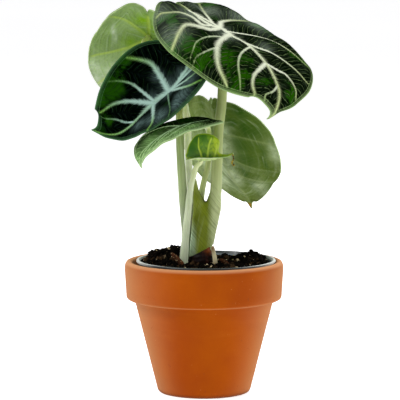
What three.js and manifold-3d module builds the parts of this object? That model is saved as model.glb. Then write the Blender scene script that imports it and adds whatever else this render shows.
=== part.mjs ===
// Black velvet alocasia in a 12 cm clay pot: the pot, the plastic grower's pot of soil that stands
// in it, the corm, and six leaves, each a blade on its own stalk.
// Millimetres, +Z up, +X to the right, +Y away from the viewer. The clay pot's axis is X = Y = 0
// until the whole plant is centred on its footprint at the end.
import * as THREE from 'three';
import { mergeVertices } from 'three/addons/utils/BufferGeometryUtils.js';
import Module from 'manifold-3d';

const wasm = await Module();
wasm.setup();

// Clearance between pieces that touch, and what a curved blade needs over the stalk's flat end
const GAP = 0.3;
const SEAT_RELIEF = 0.12;

// Clay pot, radii and heights
const CLAY = {
  rimRadius: 60,
  crestRadius: 57,
  crestHeight: 100,
  mouthRadius: 54,
  rimFoot: 71,
  rimFootRadius: 58.8,
  neckRadius: 52.5,
  baseRadius: 35,
  baseRound: 2.4,
  floor: 6,
  floorRadius: 30.2,
  drainRadius: 6,
  sides: 56,
};

// Plastic grower's pot, standing a little right of the clay pot's axis
const GROWER = {
  offset: 1.5,
  lipRadius: 52.7,
  lipHeight: 100.8,
  lipDepth: 2,
  neckRadius: 51.6,
  baseRadius: 28.2,
  wall: 1.2,
  drainRadius: 4,
  sides: 48,
};

// Soil: its level, the heaps at the back, how high it may lie at the wall, and the size of its lumps
const SOIL = {
  level: 96.6,
  heaps: [
    { height: 7.4, x: -36, y: 14, width: 20, depth: 20 },
    { height: 8.2, x: -14, y: 19, width: 13, depth: 15 },
    { height: 6.2, x: 36, y: 16, width: 11, depth: 16 },
  ],
  brim: 100,
  lump: 0.9,
  rings: 13,
  sides: 44,
};

// The oblique cut where the oldest sheath has dried back from the corm
const CUT = { x: -11, z: 102.6, slope: 27.8 };

// The corm's middle and half sizes
const CORM = { x: -2, y: -1, z: 99.5, width: 9.5, depth: 6.6, height: 13 };

// Half of a blade's outline, tip to sinus. Along the midrib it is a share of the length from hub to
// tip, and across it is a share of the half width.
const OUTLINE = [
  [1.0, 0.0],
  [0.94, 0.08],
  [0.87, 0.26],
  [0.72, 0.55],
  [0.47, 0.85],
  [0.17, 1.0],
  [-0.13, 0.97],
  [-0.38, 0.79],
  [-0.53, 0.5],
  [-0.55, 0.24],
  [-0.46, 0.06],
  [-0.36, 0.0],
];

// The front of the midrib bends evenly up to this share of its length, and the tip bends past it.
const TIP_START = 0.75;

// How far out the control point of a rib lies, as a share of the rib's reach
const RIB_BELLY = 0.55;

// Leaves. hub is where the stalk meets the blade. heading, pitch and roll turn the midrib, in
// degrees. droop, tipCurl and lobeDroop bend it in front of the hub, at the tip and behind the hub.
// sweep carries the tip sideways. fold is the angle of both halves to the midrib, and twist adds to
// it towards the tip. Each half has its width, its curl up towards the margin, what the curl gains
// towards the tip, the stretch of its lobe, and how much fuller its shoulder and lobe are. A half
// with a tail has its shoulder set back by that share of the length, over the given span of the
// outline, so the tip stands out narrow. notch is how far from the midrib the lobes have their full
// stretch. ribs gives where each pair of ribs leaves the midrib and where on the outline it ends,
// and lean how far the ribs start out towards the tip.
const LEAVES = {
  a: {
    hub: [11.6, -6.3, 275.2], heading: -39, pitch: -22, roll: -8, length: 106,
    droop: 29, tipCurl: 80, lobeDroop: 0, sweep: -27, fold: 1, twist: 6,
    left: { width: 58, curl: 7, gain: -17, lobe: 0.93, shoulder: 0.39, flare: 0.5 },
    right: { width: 48, curl: -86, gain: 3, lobe: 0.78, shoulder: 0.15, flare: 0.09 },
    ribs: [[0.78, 0.19], [0.53, 0.22], [0.33, 0.28], [0.12, 0.34], [-0.08, 0.54], [-0.14, 0.75]],
    lean: -0.3, notch: 0.5, puff: 2.2, thickness: 1.1, between: 3, steps: 7,
  },
  b: {
    hub: [-24.6, 5, 228.2], heading: 167, pitch: -44, roll: -43, length: 72.5,
    droop: 0, tipCurl: -49, lobeDroop: 14, sweep: -26, fold: 25, twist: -36,
    left: { width: 37, curl: -24, gain: 82, lobe: 1, shoulder: -0.09, flare: 0.12 },
    right: { width: 45, curl: 30, gain: 51, lobe: 0.76, shoulder: 0, flare: -0.11 },
    ribs: [[0.59, 0.17], [0.3, 0.24], [0.24, 0.38], [0.01, 0.47], [-0.08, 0.62], [-0.14, 0.78]],
    lean: -0.2, notch: 0.5, puff: 1.8, thickness: 1.1, between: 3, steps: 6,
  },
  c: {
    hub: [-42.6, 50, 266], heading: 92, pitch: -51, roll: 21, length: 77,
    droop: 10, tipCurl: -15, lobeDroop: 39, sweep: 13, fold: -20, twist: 0,
    left: { width: 45.7, curl: -18, gain: 42, lobe: 1.12, shoulder: 0.17, flare: -0.14 },
    right: { width: 43.4, curl: -7, gain: -5, lobe: 0.72, shoulder: 0, flare: 0 },
    ribs: [[0.8, 0.12], [0.55, 0.2], [0.3, 0.3], [0.03, 0.43], [-0.04, 0.67], [-0.12, 0.82]],
    lean: 0.2, notch: 0.5, puff: 1.1, thickness: 1.1, between: 3, steps: 6,
  },
  d: {
    hub: [9.7, 29.7, 189.4], heading: 64, pitch: -63, roll: 24, length: 82.5,
    droop: -42, tipCurl: 33, lobeDroop: -32, sweep: 7, fold: 17, twist: -25,
    left: { width: 47, curl: -20, gain: -5, lobe: 0.64, shoulder: 0.02, flare: 0.1, tail: 0.04, span: 0.13 },
    right: { width: 47, curl: 20, gain: -39, lobe: 0.74, shoulder: 0.15, flare: 0, tail: 0.04, span: 0.13 },
    ribs: [[0.75, 0.12], [0.5, 0.19], [0.27, 0.28], [0.02, 0.45], [-0.08, 0.64], [-0.14, 0.8]],
    lean: -0.2, notch: 0.2, puff: 1.1, thickness: 1.1, between: 3, steps: 6,
  },
  e: {
    hub: [-7.5, -24, 205.7], heading: 207, pitch: -7, roll: -6, length: 60,
    droop: 47, tipCurl: 67, lobeDroop: 23, sweep: 1.4, fold: 9, twist: -8,
    left: { width: 22.8, curl: -10, gain: 22, lobe: 0.58, shoulder: -0.06, flare: 0 },
    right: { width: 25, curl: -30, gain: -11, lobe: 0.6, shoulder: 0.18, flare: 0 },
    ribs: [[0.75, 0.14], [0.5, 0.22], [0.26, 0.32], [0.02, 0.45], [-0.1, 0.66]],
    lean: -0.1, notch: 0.2, puff: 0.5, thickness: 0.9, between: 2, steps: 4,
  },
  f: {
    hub: [-2.8, -14.1, 177.2], heading: -12, pitch: 1, roll: 38, length: 27,
    droop: -26, tipCurl: -24, lobeDroop: -60, sweep: 0, fold: 42, twist: 5,
    left: { width: 19.3, curl: 10, gain: 0, lobe: 0.78, shoulder: 0.1, flare: 0.2, tail: 0.33, span: 0.32 },
    right: { width: 5.5, curl: 60, gain: 0, lobe: 0.6, shoulder: 0, flare: 0 },
    ribs: [[0.52, 0.15], [0.38, 0.24], [0.14, 0.36], [-0.08, 0.56]],
    lean: -0.1, notch: 0.2, puff: 0.4, thickness: 0.8, between: 3, steps: 5,
  },
};

// Stalks: the points of each one's middle line from its foot to below the blade, and its radius at
// the foot and at the blade. knee is how far under the blade the stalk turns square to it.
const STALKS = {
  a: {
    path: [[-0.5, 0, 98], [1.2, 0, 115], [4.9, 0, 132], [8.6, 0, 150], [9.6, 1, 172], [10.8, 1.5, 199],
      [13, 1, 216], [13.7, 0, 232], [12.6, -3, 254]],
    foot: 5.1, top: 3, knee: 9, sides: 12, steps: 22,
  },
  b: {
    path: [[-13.2, 6.3, 88], [-13.4, 5.8, 122], [-14.9, 5.6, 138], [-16.7, 5.6, 161], [-18, 6.5, 184],
      [-18.6, 9, 209]],
    foot: 4.1, top: 2.4, knee: 9, sides: 10, steps: 16,
  },
  c: {
    path: [[-7.9, 12.3, 88], [-9.4, 12.3, 138], [-11.1, 13, 162], [-12.1, 14.5, 185], [-13.2, 17, 208],
      [-21, 27, 236], [-36, 38, 255]],
    foot: 2.9, top: 2.5, knee: 9, sides: 10, steps: 20,
  },
  d: {
    path: [[3.2, 11.8, 88], [4.2, 11.5, 112], [6.8, 11, 135], [8.5, 11.5, 155], [7.5, 17, 175]],
    foot: 2.3, top: 2.2, knee: 9, sides: 10, steps: 12,
  },
  e: {
    path: [[-2.1, 12.2, 88], [-2.6, 10.2, 125], [-2, 8.8, 148], [0.3, 8.2, 160.5], [2.4, 7.8, 169],
      [3.8, 6, 182], [3, -2, 199.5], [-1, -14, 203]],
    foot: 2.5, top: 2, knee: 2.4, sides: 10, steps: 22,
  },
  f: {
    path: [[-16, -6.5, 88], [-14.7, -6.8, 108.7], [-13.4, -7.5, 124], [-11.8, -8.5, 139.4],
      [-10.3, -10, 154.5], [-7.6, -11.5, 166], [-5.8, -12.2, 172]],
    foot: 3.4, top: 1.8, knee: 2, sides: 10, steps: 14,
  },
};

// The sheath at the foot of stalk a: a broad lap that ends in a horn on the left, and a lap that
// joins it to the stalk. Radii are evenly spaced along each lap.
const SHEATH = {
  laps: [
    {
      path: [[-2, 0, 96], [-2.1, 0, 105.5], [-1.3, 0, 115], [-0.5, 0, 124.5], [-0.6, 0, 134],
        [-3.7, 0, 143.5], [-5.9, 0, 152.5], [-6.4, 0, 162]],
      radii: [8.8, 8.9, 9, 9, 8.7, 4.9, 2.3, 0.7],
    },
    {
      path: [[-0.6, 0, 96], [0.3, 0, 107], [1.8, 0, 118], [3.8, 0, 129], [6.6, 0, 140], [8.6, 0, 151]],
      radii: [6.2, 6.2, 6.6, 7, 6.4, 4.4],
    },
  ],
  flatness: 0.62,
  sides: 12,
  steps: 16,
};

// Old growth at the foot of the plant: a cut stalk and two dry scales of the corm
const STUB = { path: [[9.2, -6.4, 92], [8.1, -6.5, 102], [6.4, -6.6, 111.5]], foot: 2, top: 1.3 };
const SCALES = {
  dry_scale_left: { place: [-19.4, -11.9, 101.4], size: [2.3, 0.8, 8], turn: [0, -44, -12] },
  dry_scale_right: { place: [15.2, -7.4, 99.6], size: [2, 0.8, 4.4], turn: [14, -58, -15] },
};

// The dry thread that hangs from the tip of the youngest leaf
const THREAD = {
  path: [[0.2, -0.2, -0.9], [0.9, -0.3, -4.5], [-0.3, 0, -7], [1.4, 0, -9.5]],
  foot: 0.5,
  top: 0.8,
};

// Where the middle of the whole plant's box lies, seen from above
const CENTRE = { x: -4.3, y: 9.8 };

const COLOURS = {
  clay: { color: 0xb86430, roughness: 0.9 },
  plastic: { color: 0x23272a, roughness: 0.5 },
  soil: { color: 0x1c1712, roughness: 1 },
  corm: { color: 0x5a2b1c, roughness: 0.8 },
  stalk: { color: 0xb4bf86, roughness: 0.5 },
  velvet: { color: 0x17301b, roughness: 0.8 },
  underside: { color: 0x8da36b, roughness: 0.7 },
  young: { color: 0x5d8a16, roughness: 0.5 },
  dry: { color: 0x8a6234, roughness: 0.9 },
};

const radians = THREE.MathUtils.degToRad;
const clamp = THREE.MathUtils.clamp;
const outlineCurve = new THREE.SplineCurve(OUTLINE.map(([x, y]) => new THREE.Vector2(x, y)));

// A point of one half's outline, flat: distance along the midrib and distance from it
function marginPoint(leaf, half, t) {
  const point = outlineCurve.getPoint(t);
  const shoulder = half.shoulder * Math.sin(Math.PI * clamp(t * 2, 0, 1)) ** 2;
  const flare = half.flare * Math.sin(Math.PI * clamp(t * 2 - 1, 0, 1)) ** 2;
  const across = point.y * (1 + shoulder + flare);
  const stretch = point.x < 0 ? 1 + (half.lobe - 1) * clamp(across / leaf.notch, 0, 1) : 1;
  const waist = half.tail ? half.tail * Math.sin(Math.PI * clamp(t / half.span, 0, 1)) ** 2 : 0;
  return { along: (point.x * stretch - waist) * leaf.length, across: across * half.width };
}

// Bends a flat point of the blade: an arc along the midrib, then an arc across it
function bend(leaf, side, along, across, lift) {
  const half = side > 0 ? leaf.left : leaf.right;
  const share = along / leaf.length;
  const front = radians(leaf.droop || 0.01);
  const tip = front + radians(leaf.tipCurl) / (1 - TIP_START);
  const back = radians(leaf.lobeDroop || 0.01);
  const arc = (angle, turn, amount) => ({
    x: (leaf.length / turn) * (Math.sin(angle + turn * amount) - Math.sin(angle)),
    z: (leaf.length / turn) * (Math.cos(angle + turn * amount) - Math.cos(angle)),
    angle: angle + turn * amount,
  });
  const fore = arc(0, front, clamp(share, 0, TIP_START));
  const end = arc(fore.angle, tip, Math.max(share - TIP_START, 0));
  const rear = arc(0, back, Math.min(share, 0));
  const angle = share < 0 ? rear.angle : end.angle;
  const fold = radians(leaf.fold + side * leaf.twist * clamp(share, -1, 1));
  const curl = radians(half.curl + half.gain * share) / half.width || 1e-5;
  const out = (Math.sin(fold + curl * across) - Math.sin(fold)) / curl - lift * Math.sin(fold + curl * across);
  const up = (Math.cos(fold) - Math.cos(fold + curl * across)) / curl + lift * Math.cos(fold + curl * across);
  const sideways = side * out + leaf.sweep * Math.max(share, 0) ** 2;
  return new THREE.Vector3(
    fore.x + end.x + (share < 0 ? rear.x : 0) + up * Math.sin(angle),
    sideways,
    fore.z + end.z + (share < 0 ? rear.z : 0) + up * Math.cos(angle),
  );
}

// The leaf's own frame: X along the midrib, Y to its left half, Z out of its upper face
function leafFrame(leaf) {
  const heading = radians(leaf.heading);
  const pitch = radians(leaf.pitch);
  const forward = new THREE.Vector3(
    Math.cos(pitch) * Math.cos(heading),
    Math.cos(pitch) * Math.sin(heading),
    Math.sin(pitch),
  );
  const left = new THREE.Vector3(-Math.sin(heading), Math.cos(heading), 0);
  left.applyAxisAngle(forward, radians(leaf.roll));
  const up = new THREE.Vector3().crossVectors(forward, left);
  return new THREE.Matrix4().makeBasis(forward, left, up).setPosition(...leaf.hub);
}

// A point on the line from the midrib to the margin: line counts the ribs from the tip, and reach
// runs from 0 at the midrib to 1 at the margin. Between two ribs the blade puffs up.
function bladePoint(leaf, side, line, reach) {
  const half = side > 0 ? leaf.left : leaf.right;
  const stations = [[1, 0], ...leaf.ribs, [OUTLINE.at(-1)[0], 1]];
  const index = Math.min(Math.floor(line), stations.length - 2);
  const between = line - index;
  const start = THREE.MathUtils.lerp(stations[index][0], stations[index + 1][0], between) * leaf.length;
  const turn = THREE.MathUtils.lerp(stations[index][1], stations[index + 1][1], between);
  const end = marginPoint(leaf, half, turn);
  const belly = start + leaf.lean * (end.along - start);
  const rib = new THREE.QuadraticBezierCurve(
    new THREE.Vector2(start, 0),
    new THREE.Vector2(belly, RIB_BELLY * end.across),
    new THREE.Vector2(end.along, end.across),
  ).getPoint(reach);
  const lift = leaf.puff * Math.sin(Math.PI * between) * Math.sin(Math.PI * reach ** 0.8);
  return bend(leaf, side, rib.x, rib.y, lift);
}

// Gives a closed body to an open surface, half the thickness to each side, and closes its rim
function thicken(surface, thickness) {
  surface.computeVertexNormals();
  const place = surface.getAttribute('position');
  const normal = surface.getAttribute('normal');
  const count = place.count;
  const vertices = new Float32Array(count * 6);
  const point = new THREE.Vector3();
  const offset = new THREE.Vector3();
  for (let i = 0; i < count; i += 1) {
    offset.fromBufferAttribute(normal, i).multiplyScalar(thickness / 2);
    point.fromBufferAttribute(place, i).add(offset).toArray(vertices, i * 3);
    point.fromBufferAttribute(place, i).sub(offset).toArray(vertices, (count + i) * 3);
  }
  const faces = Array.from(surface.index.array);
  const index = [];
  const edges = new Set();
  for (let i = 0; i < faces.length; i += 3) {
    const [a, b, c] = faces.slice(i, i + 3);
    index.push(a, b, c, count + a, count + c, count + b);
    [[a, b], [b, c], [c, a]].forEach(([from, to]) => edges.add(`${from} ${to}`));
  }
  for (const edge of edges) {
    const [from, to] = edge.split(' ').map(Number);
    if (!edges.has(`${to} ${from}`)) {
      index.push(from, count + from, to, to, count + from, count + to);
    }
  }
  const body = new THREE.BufferGeometry();
  body.setAttribute('position', new THREE.BufferAttribute(vertices, 3));
  body.setIndex(index);
  return body;
}

// One blade: both halves as a net of lines from the midrib to the margin, joined at the midrib
function blade(leaf) {
  const lines = (leaf.ribs.length + 1) * leaf.between;
  const columns = leaf.steps * 2 + 1;
  const vertices = [];
  const index = [];
  for (let i = 0; i <= lines; i += 1) {
    for (let j = -leaf.steps; j <= leaf.steps; j += 1) {
      const side = j < 0 ? -1 : 1;
      vertices.push(...bladePoint(leaf, side, i / leaf.between, Math.abs(j) / leaf.steps));
    }
  }
  for (let i = 0; i < lines; i += 1) {
    for (let j = 0; j < columns - 1; j += 1) {
      const a = i * columns + j;
      const b = a + columns;
      index.push(a, b, a + 1, a + 1, b, b + 1);
    }
  }
  const net = new THREE.BufferGeometry();
  net.setAttribute('position', new THREE.Float32BufferAttribute(vertices, 3));
  net.setIndex(index);
  const surface = mergeVertices(net, 1e-3);
  surface.setIndex(withoutSlivers(surface.index.array));
  return thicken(surface, leaf.thickness).applyMatrix4(leafFrame(leaf));
}

// Drops the triangles that have lost an edge where a net runs together in one point
function withoutSlivers(indices) {
  const kept = [];
  for (let i = 0; i < indices.length; i += 3) {
    const [a, b, c] = indices.slice(i, i + 3);
    if (a !== b && b !== c && c !== a) {
      kept.push(a, b, c);
    }
  }
  return kept;
}

// A closed round stalk along a smooth curve, with its radius given by its share of the length
function tube(points, radiusAt, sides, steps) {
  const curve = new THREE.CatmullRomCurve3(points.map((point) => new THREE.Vector3(...point)));
  const frames = curve.computeFrenetFrames(steps, false);
  const geometry = new THREE.CylinderGeometry(1, 1, 1, sides, steps);
  geometry.deleteAttribute('uv');
  geometry.deleteAttribute('normal');
  const body = mergeVertices(geometry, 1e-4);
  const place = body.getAttribute('position');
  for (let i = 0; i < place.count; i += 1) {
    const share = place.getY(i) + 0.5;
    const station = Math.round(share * steps);
    const radius = radiusAt(station / steps);
    const point = curve.getPointAt(station / steps);
    point.addScaledVector(frames.normals[station], place.getX(i) * radius);
    point.addScaledVector(frames.binormals[station], -place.getZ(i) * radius);
    place.setXYZ(i, point.x, point.y, point.z);
  }
  return body;
}

// The value at a share of the way along a list of evenly spaced values
function along(values, share) {
  const index = Math.min(Math.floor(share * (values.length - 1)), values.length - 2);
  return THREE.MathUtils.lerp(values[index], values[index + 1], share * (values.length - 1) - index);
}

// A path with its foot lowered, for the hole that it stands in
function sunk(path, depth) {
  const [[x, y, z], ...rest] = path;
  return [[x, y, z - depth], ...rest];
}

// A leaf's stalk, from its foot up to its seat under the blade. grow widens it, for its hole.
function stalk(name, grow = 0) {
  const { path, foot, top, knee, sides, steps } = STALKS[name];
  const leaf = LEAVES[name];
  const down = new THREE.Vector3(0, 0, -1).transformDirection(leafFrame(leaf));
  const hub = new THREE.Vector3(...leaf.hub);
  const sag = top * Math.tan(radians(Math.max(-leaf.fold, 0)));
  const seat = hub.clone().addScaledVector(down, leaf.thickness / 2 + GAP + SEAT_RELIEF + sag);
  const bendPoint = hub.clone().addScaledVector(down, knee);
  const points = [...sunk(path, grow), bendPoint.toArray(), seat.toArray()];
  return tube(points, (share) => THREE.MathUtils.lerp(foot, top, share) + grow, sides, steps);
}

function solid(geometry) {
  const vertProperties = new Float32Array(geometry.getAttribute('position').array);
  const triVerts = new Uint32Array(geometry.index.array);
  return new wasm.Manifold(new wasm.Mesh({ numProp: 3, vertProperties, triVerts }));
}

function geometryOf(manifold) {
  const mesh = manifold.getMesh();
  const geometry = new THREE.BufferGeometry();
  geometry.setAttribute('position', new THREE.BufferAttribute(new Float32Array(mesh.vertProperties), 3));
  geometry.setIndex(Array.from(mesh.triVerts));
  return geometry;
}

// Everything below the oblique cut, or above it with side = 1, less the clearance
function cutBlock(side) {
  const size = 120;
  const block = new THREE.BoxGeometry(size, size, size);
  block.deleteAttribute('uv');
  block.deleteAttribute('normal');
  const body = mergeVertices(block, 1e-4);
  body.translate(0, 0, (side * (size - GAP)) / 2);
  body.rotateY(-radians(CUT.slope));
  body.translate(CUT.x, 0, CUT.z);
  return solid(body);
}

// Stalk a with the sheath at its foot, cut back obliquely above the corm
function sheathedStalk() {
  let body = solid(stalk('a'));
  for (const { path, radii } of SHEATH.laps) {
    const lap = tube(path, (share) => along(radii, share), SHEATH.sides, SHEATH.steps);
    lap.scale(1, SHEATH.flatness, 1);
    body = body.add(solid(lap));
  }
  return geometryOf(body.subtract(cutBlock(-1)));
}

function corm(grow = 0) {
  const body = new THREE.SphereGeometry(1, 14, 10);
  body.deleteAttribute('uv');
  body.deleteAttribute('normal');
  const merged = mergeVertices(body, 1e-4);
  merged.rotateX(Math.PI / 2);
  merged.scale(CORM.width + grow, CORM.depth + grow, CORM.height + grow);
  merged.translate(CORM.x, CORM.y, CORM.z);
  return merged;
}

function lathe(profile, sides) {
  const body = new THREE.LatheGeometry(profile.map(([r, z]) => new THREE.Vector2(r, z)), sides);
  body.deleteAttribute('uv');
  body.deleteAttribute('normal');
  const merged = mergeVertices(body, 1e-4);
  merged.setIndex(withoutSlivers(merged.index.array));
  merged.rotateX(Math.PI / 2);
  return merged;
}

function clayPot() {
  const c = CLAY;
  const profile = [
    [c.drainRadius, 0],
    [c.baseRadius - c.baseRound, 0],
    [c.baseRadius - 0.5, 0.7],
    [c.baseRadius + 0.5, c.baseRound],
    [c.neckRadius, c.rimFoot - 1],
    [c.neckRadius + 1.2, c.rimFoot],
    [c.rimFootRadius - 1.6, c.rimFoot + 0.2],
    [c.rimFootRadius - 0.3, c.rimFoot + 1.2],
    [c.rimFootRadius, c.rimFoot + 3],
    [c.rimRadius, c.crestHeight - 5],
    [c.rimRadius - 0.5, c.crestHeight - 2],
    [c.rimRadius - 1.5, c.crestHeight - 0.5],
    [c.crestRadius, c.crestHeight],
    [c.mouthRadius + 1, c.crestHeight - 0.6],
    [c.mouthRadius, c.crestHeight - 2.4],
    [c.floorRadius, c.floor],
    [c.drainRadius, c.floor],
    [c.drainRadius, 0],
  ];
  return lathe(profile, c.sides);
}

// The inner radius of the grower's pot at a height
function growerInside(z) {
  const share = (z - CLAY.floor) / (GROWER.lipHeight - CLAY.floor);
  return THREE.MathUtils.lerp(GROWER.baseRadius, GROWER.neckRadius, share) - GROWER.wall;
}

function growerPot() {
  const g = GROWER;
  const bottom = CLAY.floor + GAP;
  const floor = bottom + g.wall;
  const profile = [
    [g.drainRadius, bottom],
    [g.baseRadius, bottom],
    [g.neckRadius - 0.3, g.lipHeight - g.lipDepth],
    [g.lipRadius, g.lipHeight - g.lipDepth + 0.3],
    [g.lipRadius, g.lipHeight - 0.3],
    [g.lipRadius - 0.4, g.lipHeight],
    [growerInside(g.lipHeight), g.lipHeight - 0.2],
    [growerInside(floor), floor],
    [g.drainRadius, floor],
    [g.drainRadius, bottom],
  ];
  return lathe(profile, g.sides).translate(g.offset, 0, 0);
}

// The height of the soil at a place: the level, the heaps and lumps of two sizes
function soilHeight(x, y) {
  const lumps = Math.sin(x * 0.61 + 1.3) * Math.cos(y * 0.53 - 0.7) + 0.6 * Math.sin(x * 1.37 - y * 1.13);
  let height = SOIL.level + SOIL.lump * lumps;
  for (const heap of SOIL.heaps) {
    height += heap.height * Math.exp(-(((x - heap.x) / heap.width) ** 2) - ((y - heap.y) / heap.depth) ** 2);
  }
  return height;
}

// The soil as a closed body inside the grower's pot, with plain holes for what stands in it
function soil() {
  const floor = CLAY.floor + GAP + GROWER.wall + GAP;
  const edge = SOIL.level;
  const vertices = [GROWER.offset, 0, soilHeight(GROWER.offset, 0)];
  for (let ring = 1; ring <= SOIL.rings; ring += 1) {
    const share = ring / SOIL.rings;
    for (let side = 0; side < SOIL.sides; side += 1) {
      const angle = (side / SOIL.sides) * 2 * Math.PI;
      const radius = share * (growerInside(edge) - GAP - 0.25);
      const x = GROWER.offset + radius * Math.cos(angle);
      const y = radius * Math.sin(angle);
      const fade = THREE.MathUtils.smoothstep(1 - share, 0, 0.12);
      const height = soilHeight(x, y);
      vertices.push(x, y, THREE.MathUtils.lerp(clamp(height, edge, SOIL.brim), height, fade));
    }
  }
  const low = growerInside(floor) - GAP;
  for (let side = 0; side < SOIL.sides; side += 1) {
    const angle = (side / SOIL.sides) * 2 * Math.PI;
    vertices.push(GROWER.offset + low * Math.cos(angle), low * Math.sin(angle), floor);
  }
  vertices.push(GROWER.offset, 0, floor);
  const index = [];
  const at = (ring, side) => 1 + (ring - 1) * SOIL.sides + (side % SOIL.sides);
  const bottom = vertices.length / 3 - 1;
  for (let side = 0; side < SOIL.sides; side += 1) {
    index.push(0, at(1, side), at(1, side + 1));
    for (let ring = 1; ring <= SOIL.rings; ring += 1) {
      index.push(at(ring, side), at(ring + 1, side), at(ring + 1, side + 1));
      index.push(at(ring, side), at(ring + 1, side + 1), at(ring, side + 1));
    }
    index.push(bottom, at(SOIL.rings + 1, side + 1), at(SOIL.rings + 1, side));
  }
  const body = new THREE.BufferGeometry();
  body.setAttribute('position', new THREE.Float32BufferAttribute(vertices, 3));
  body.setIndex(index);
  let bed = solid(body).subtract(solid(corm(GAP))).subtract(solid(stub(GAP)));
  for (const name of ['b', 'c', 'd', 'e', 'f']) {
    bed = bed.subtract(solid(stalk(name, GAP)));
  }
  for (const name of Object.keys(SCALES)) {
    bed = bed.subtract(solid(dryScale(SCALES[name], GAP)));
  }
  return geometryOf(bed);
}

function stub(grow = 0) {
  return tube(sunk(STUB.path, grow), (share) => THREE.MathUtils.lerp(STUB.foot, STUB.top, share) + grow, 10, 5);
}

// A dry scale of the corm: a thin leaf-shaped lens standing in the soil
function dryScale({ place, size, turn }, grow = 0) {
  const body = new THREE.SphereGeometry(1, 12, 8);
  body.deleteAttribute('uv');
  body.deleteAttribute('normal');
  const merged = mergeVertices(body, 1e-4);
  merged.rotateX(Math.PI / 2);
  merged.scale(size[0] + grow, size[1] + grow, size[2] + grow);
  merged.rotateX(radians(turn[0]));
  merged.rotateY(radians(turn[1]));
  merged.rotateZ(radians(turn[2]));
  return merged.translate(...place);
}

// The dry thread, hung just under the tip of leaf f
function dryThread() {
  const tip = bladePoint(LEAVES.f, 1, 0, 0).applyMatrix4(leafFrame(LEAVES.f));
  const points = THREAD.path.map(([x, y, z]) => [tip.x + x, tip.y + y, tip.z + z]);
  return tube(points, (share) => THREE.MathUtils.lerp(THREAD.foot, THREAD.top, share), 6, 8);
}

const plant = new THREE.Group();

function addPiece(name, geometry, look) {
  const mesh = new THREE.Mesh(geometry, new THREE.MeshStandardMaterial({ metalness: 0, ...COLOURS[look] }));
  mesh.name = name;
  plant.add(mesh);
}

addPiece('terracotta_pot', clayPot(), 'clay');
addPiece('grower_pot', growerPot(), 'plastic');
addPiece('soil', soil(), 'soil');
addPiece('corm', geometryOf(solid(corm()).subtract(cutBlock(1))), 'corm');
addPiece('stalk_a', sheathedStalk(), 'stalk');
for (const name of ['b', 'c', 'd', 'e', 'f']) {
  addPiece(`stalk_${name}`, stalk(name), 'stalk');
}
const bladeLooks = { a: 'velvet', b: 'velvet', c: 'underside', d: 'underside', e: 'velvet', f: 'young' };
for (const name of Object.keys(LEAVES)) {
  addPiece(`blade_${name}`, blade(LEAVES[name]), bladeLooks[name]);
}
addPiece('stalk_stub', stub(), 'stalk');
for (const name of Object.keys(SCALES)) {
  addPiece(name, dryScale(SCALES[name]), 'dry');
}
addPiece('dry_thread', dryThread(), 'dry');

plant.position.set(-CENTRE.x, -CENTRE.y, 0);

export default plant;
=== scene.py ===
import math
import random

import bmesh
import bpy
import numpy
from mathutils import Matrix, Vector, noise


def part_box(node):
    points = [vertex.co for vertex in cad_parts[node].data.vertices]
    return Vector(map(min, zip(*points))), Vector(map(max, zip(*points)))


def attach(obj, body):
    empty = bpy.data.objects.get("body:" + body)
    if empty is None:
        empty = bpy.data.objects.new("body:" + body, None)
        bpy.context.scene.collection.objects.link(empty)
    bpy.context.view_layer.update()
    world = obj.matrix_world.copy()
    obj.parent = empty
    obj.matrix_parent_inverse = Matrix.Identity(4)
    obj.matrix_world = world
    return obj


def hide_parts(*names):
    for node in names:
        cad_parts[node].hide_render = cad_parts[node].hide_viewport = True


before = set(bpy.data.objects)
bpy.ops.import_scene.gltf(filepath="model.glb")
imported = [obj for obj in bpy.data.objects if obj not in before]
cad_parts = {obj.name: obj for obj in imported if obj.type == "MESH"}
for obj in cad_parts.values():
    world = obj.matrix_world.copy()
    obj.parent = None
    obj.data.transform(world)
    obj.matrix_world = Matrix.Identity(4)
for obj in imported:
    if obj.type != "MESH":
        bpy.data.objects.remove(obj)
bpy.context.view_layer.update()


# Clay pot
# Unglazed terracotta, pressed in one piece, with a deep rolled rim and a drain hole in its floor.
# It is round and has one wall, so it is spun from its section.
pot_low, pot_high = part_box("terracotta_pot")
POT_AXIS = Vector(((pot_low.x + pot_high.x) / 2, (pot_low.y + pot_high.y) / 2, 0.0))
CLAY_SIDES = 144
CLAY_SECTION = [
    (6.0, 0.0), (32.0, 0.0), (33.6, 0.35), (34.6, 1.1), (35.3, 2.4), (39.5, 18.8), (43.8, 36.0), (48.1, 53.0),
    (52.3, 69.6), (52.7, 70.4), (53.7, 70.9), (57.0, 71.1), (58.1, 71.7), (58.7, 73.0), (59.0, 78.0),
    (59.6, 88.0), (59.95, 94.0), (59.8, 96.4), (59.3, 98.2), (58.4, 99.4), (57.0, 99.95), (55.6, 99.6),
    (54.6, 98.7), (54.0, 97.4), (30.2, 6.0), (6.0, 6.0), (6.0, 0.0),
]
CLAY_EDGE = 38.0


def place(point):
    """A point in millimetres from the clay pot's axis, as a place in the scene."""
    return Vector(point) * 0.001 + POT_AXIS


def turned(section, sides, middle=(0.0, 0.0)):
    """A body spun round an upright axis from its section of radii and heights."""
    body = bmesh.new()
    ring = [body.verts.new(place((middle[0] + r, middle[1], z))) for r, z in section]
    edges = [body.edges.new((a, b)) for a, b in zip(ring, ring[1:])]
    bmesh.ops.spin(
        body, geom=ring + edges, cent=place((middle[0], middle[1], 0.0)), axis=(0, 0, 1), angle=math.tau,
        steps=sides, use_merge=True, use_duplicate=False,
    )
    bmesh.ops.remove_doubles(body, verts=body.verts, dist=1e-6)
    bmesh.ops.recalc_face_normals(body, faces=body.faces)
    return body


def soften(body, angle=30.0):
    """Smooth shading, with the edges sharper than the angle kept crisp."""
    for face in body.faces:
        face.smooth = True
    for edge in body.edges:
        edge.smooth = len(edge.link_faces) < 2 or edge.calc_face_angle(0.0) < math.radians(angle)


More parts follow.
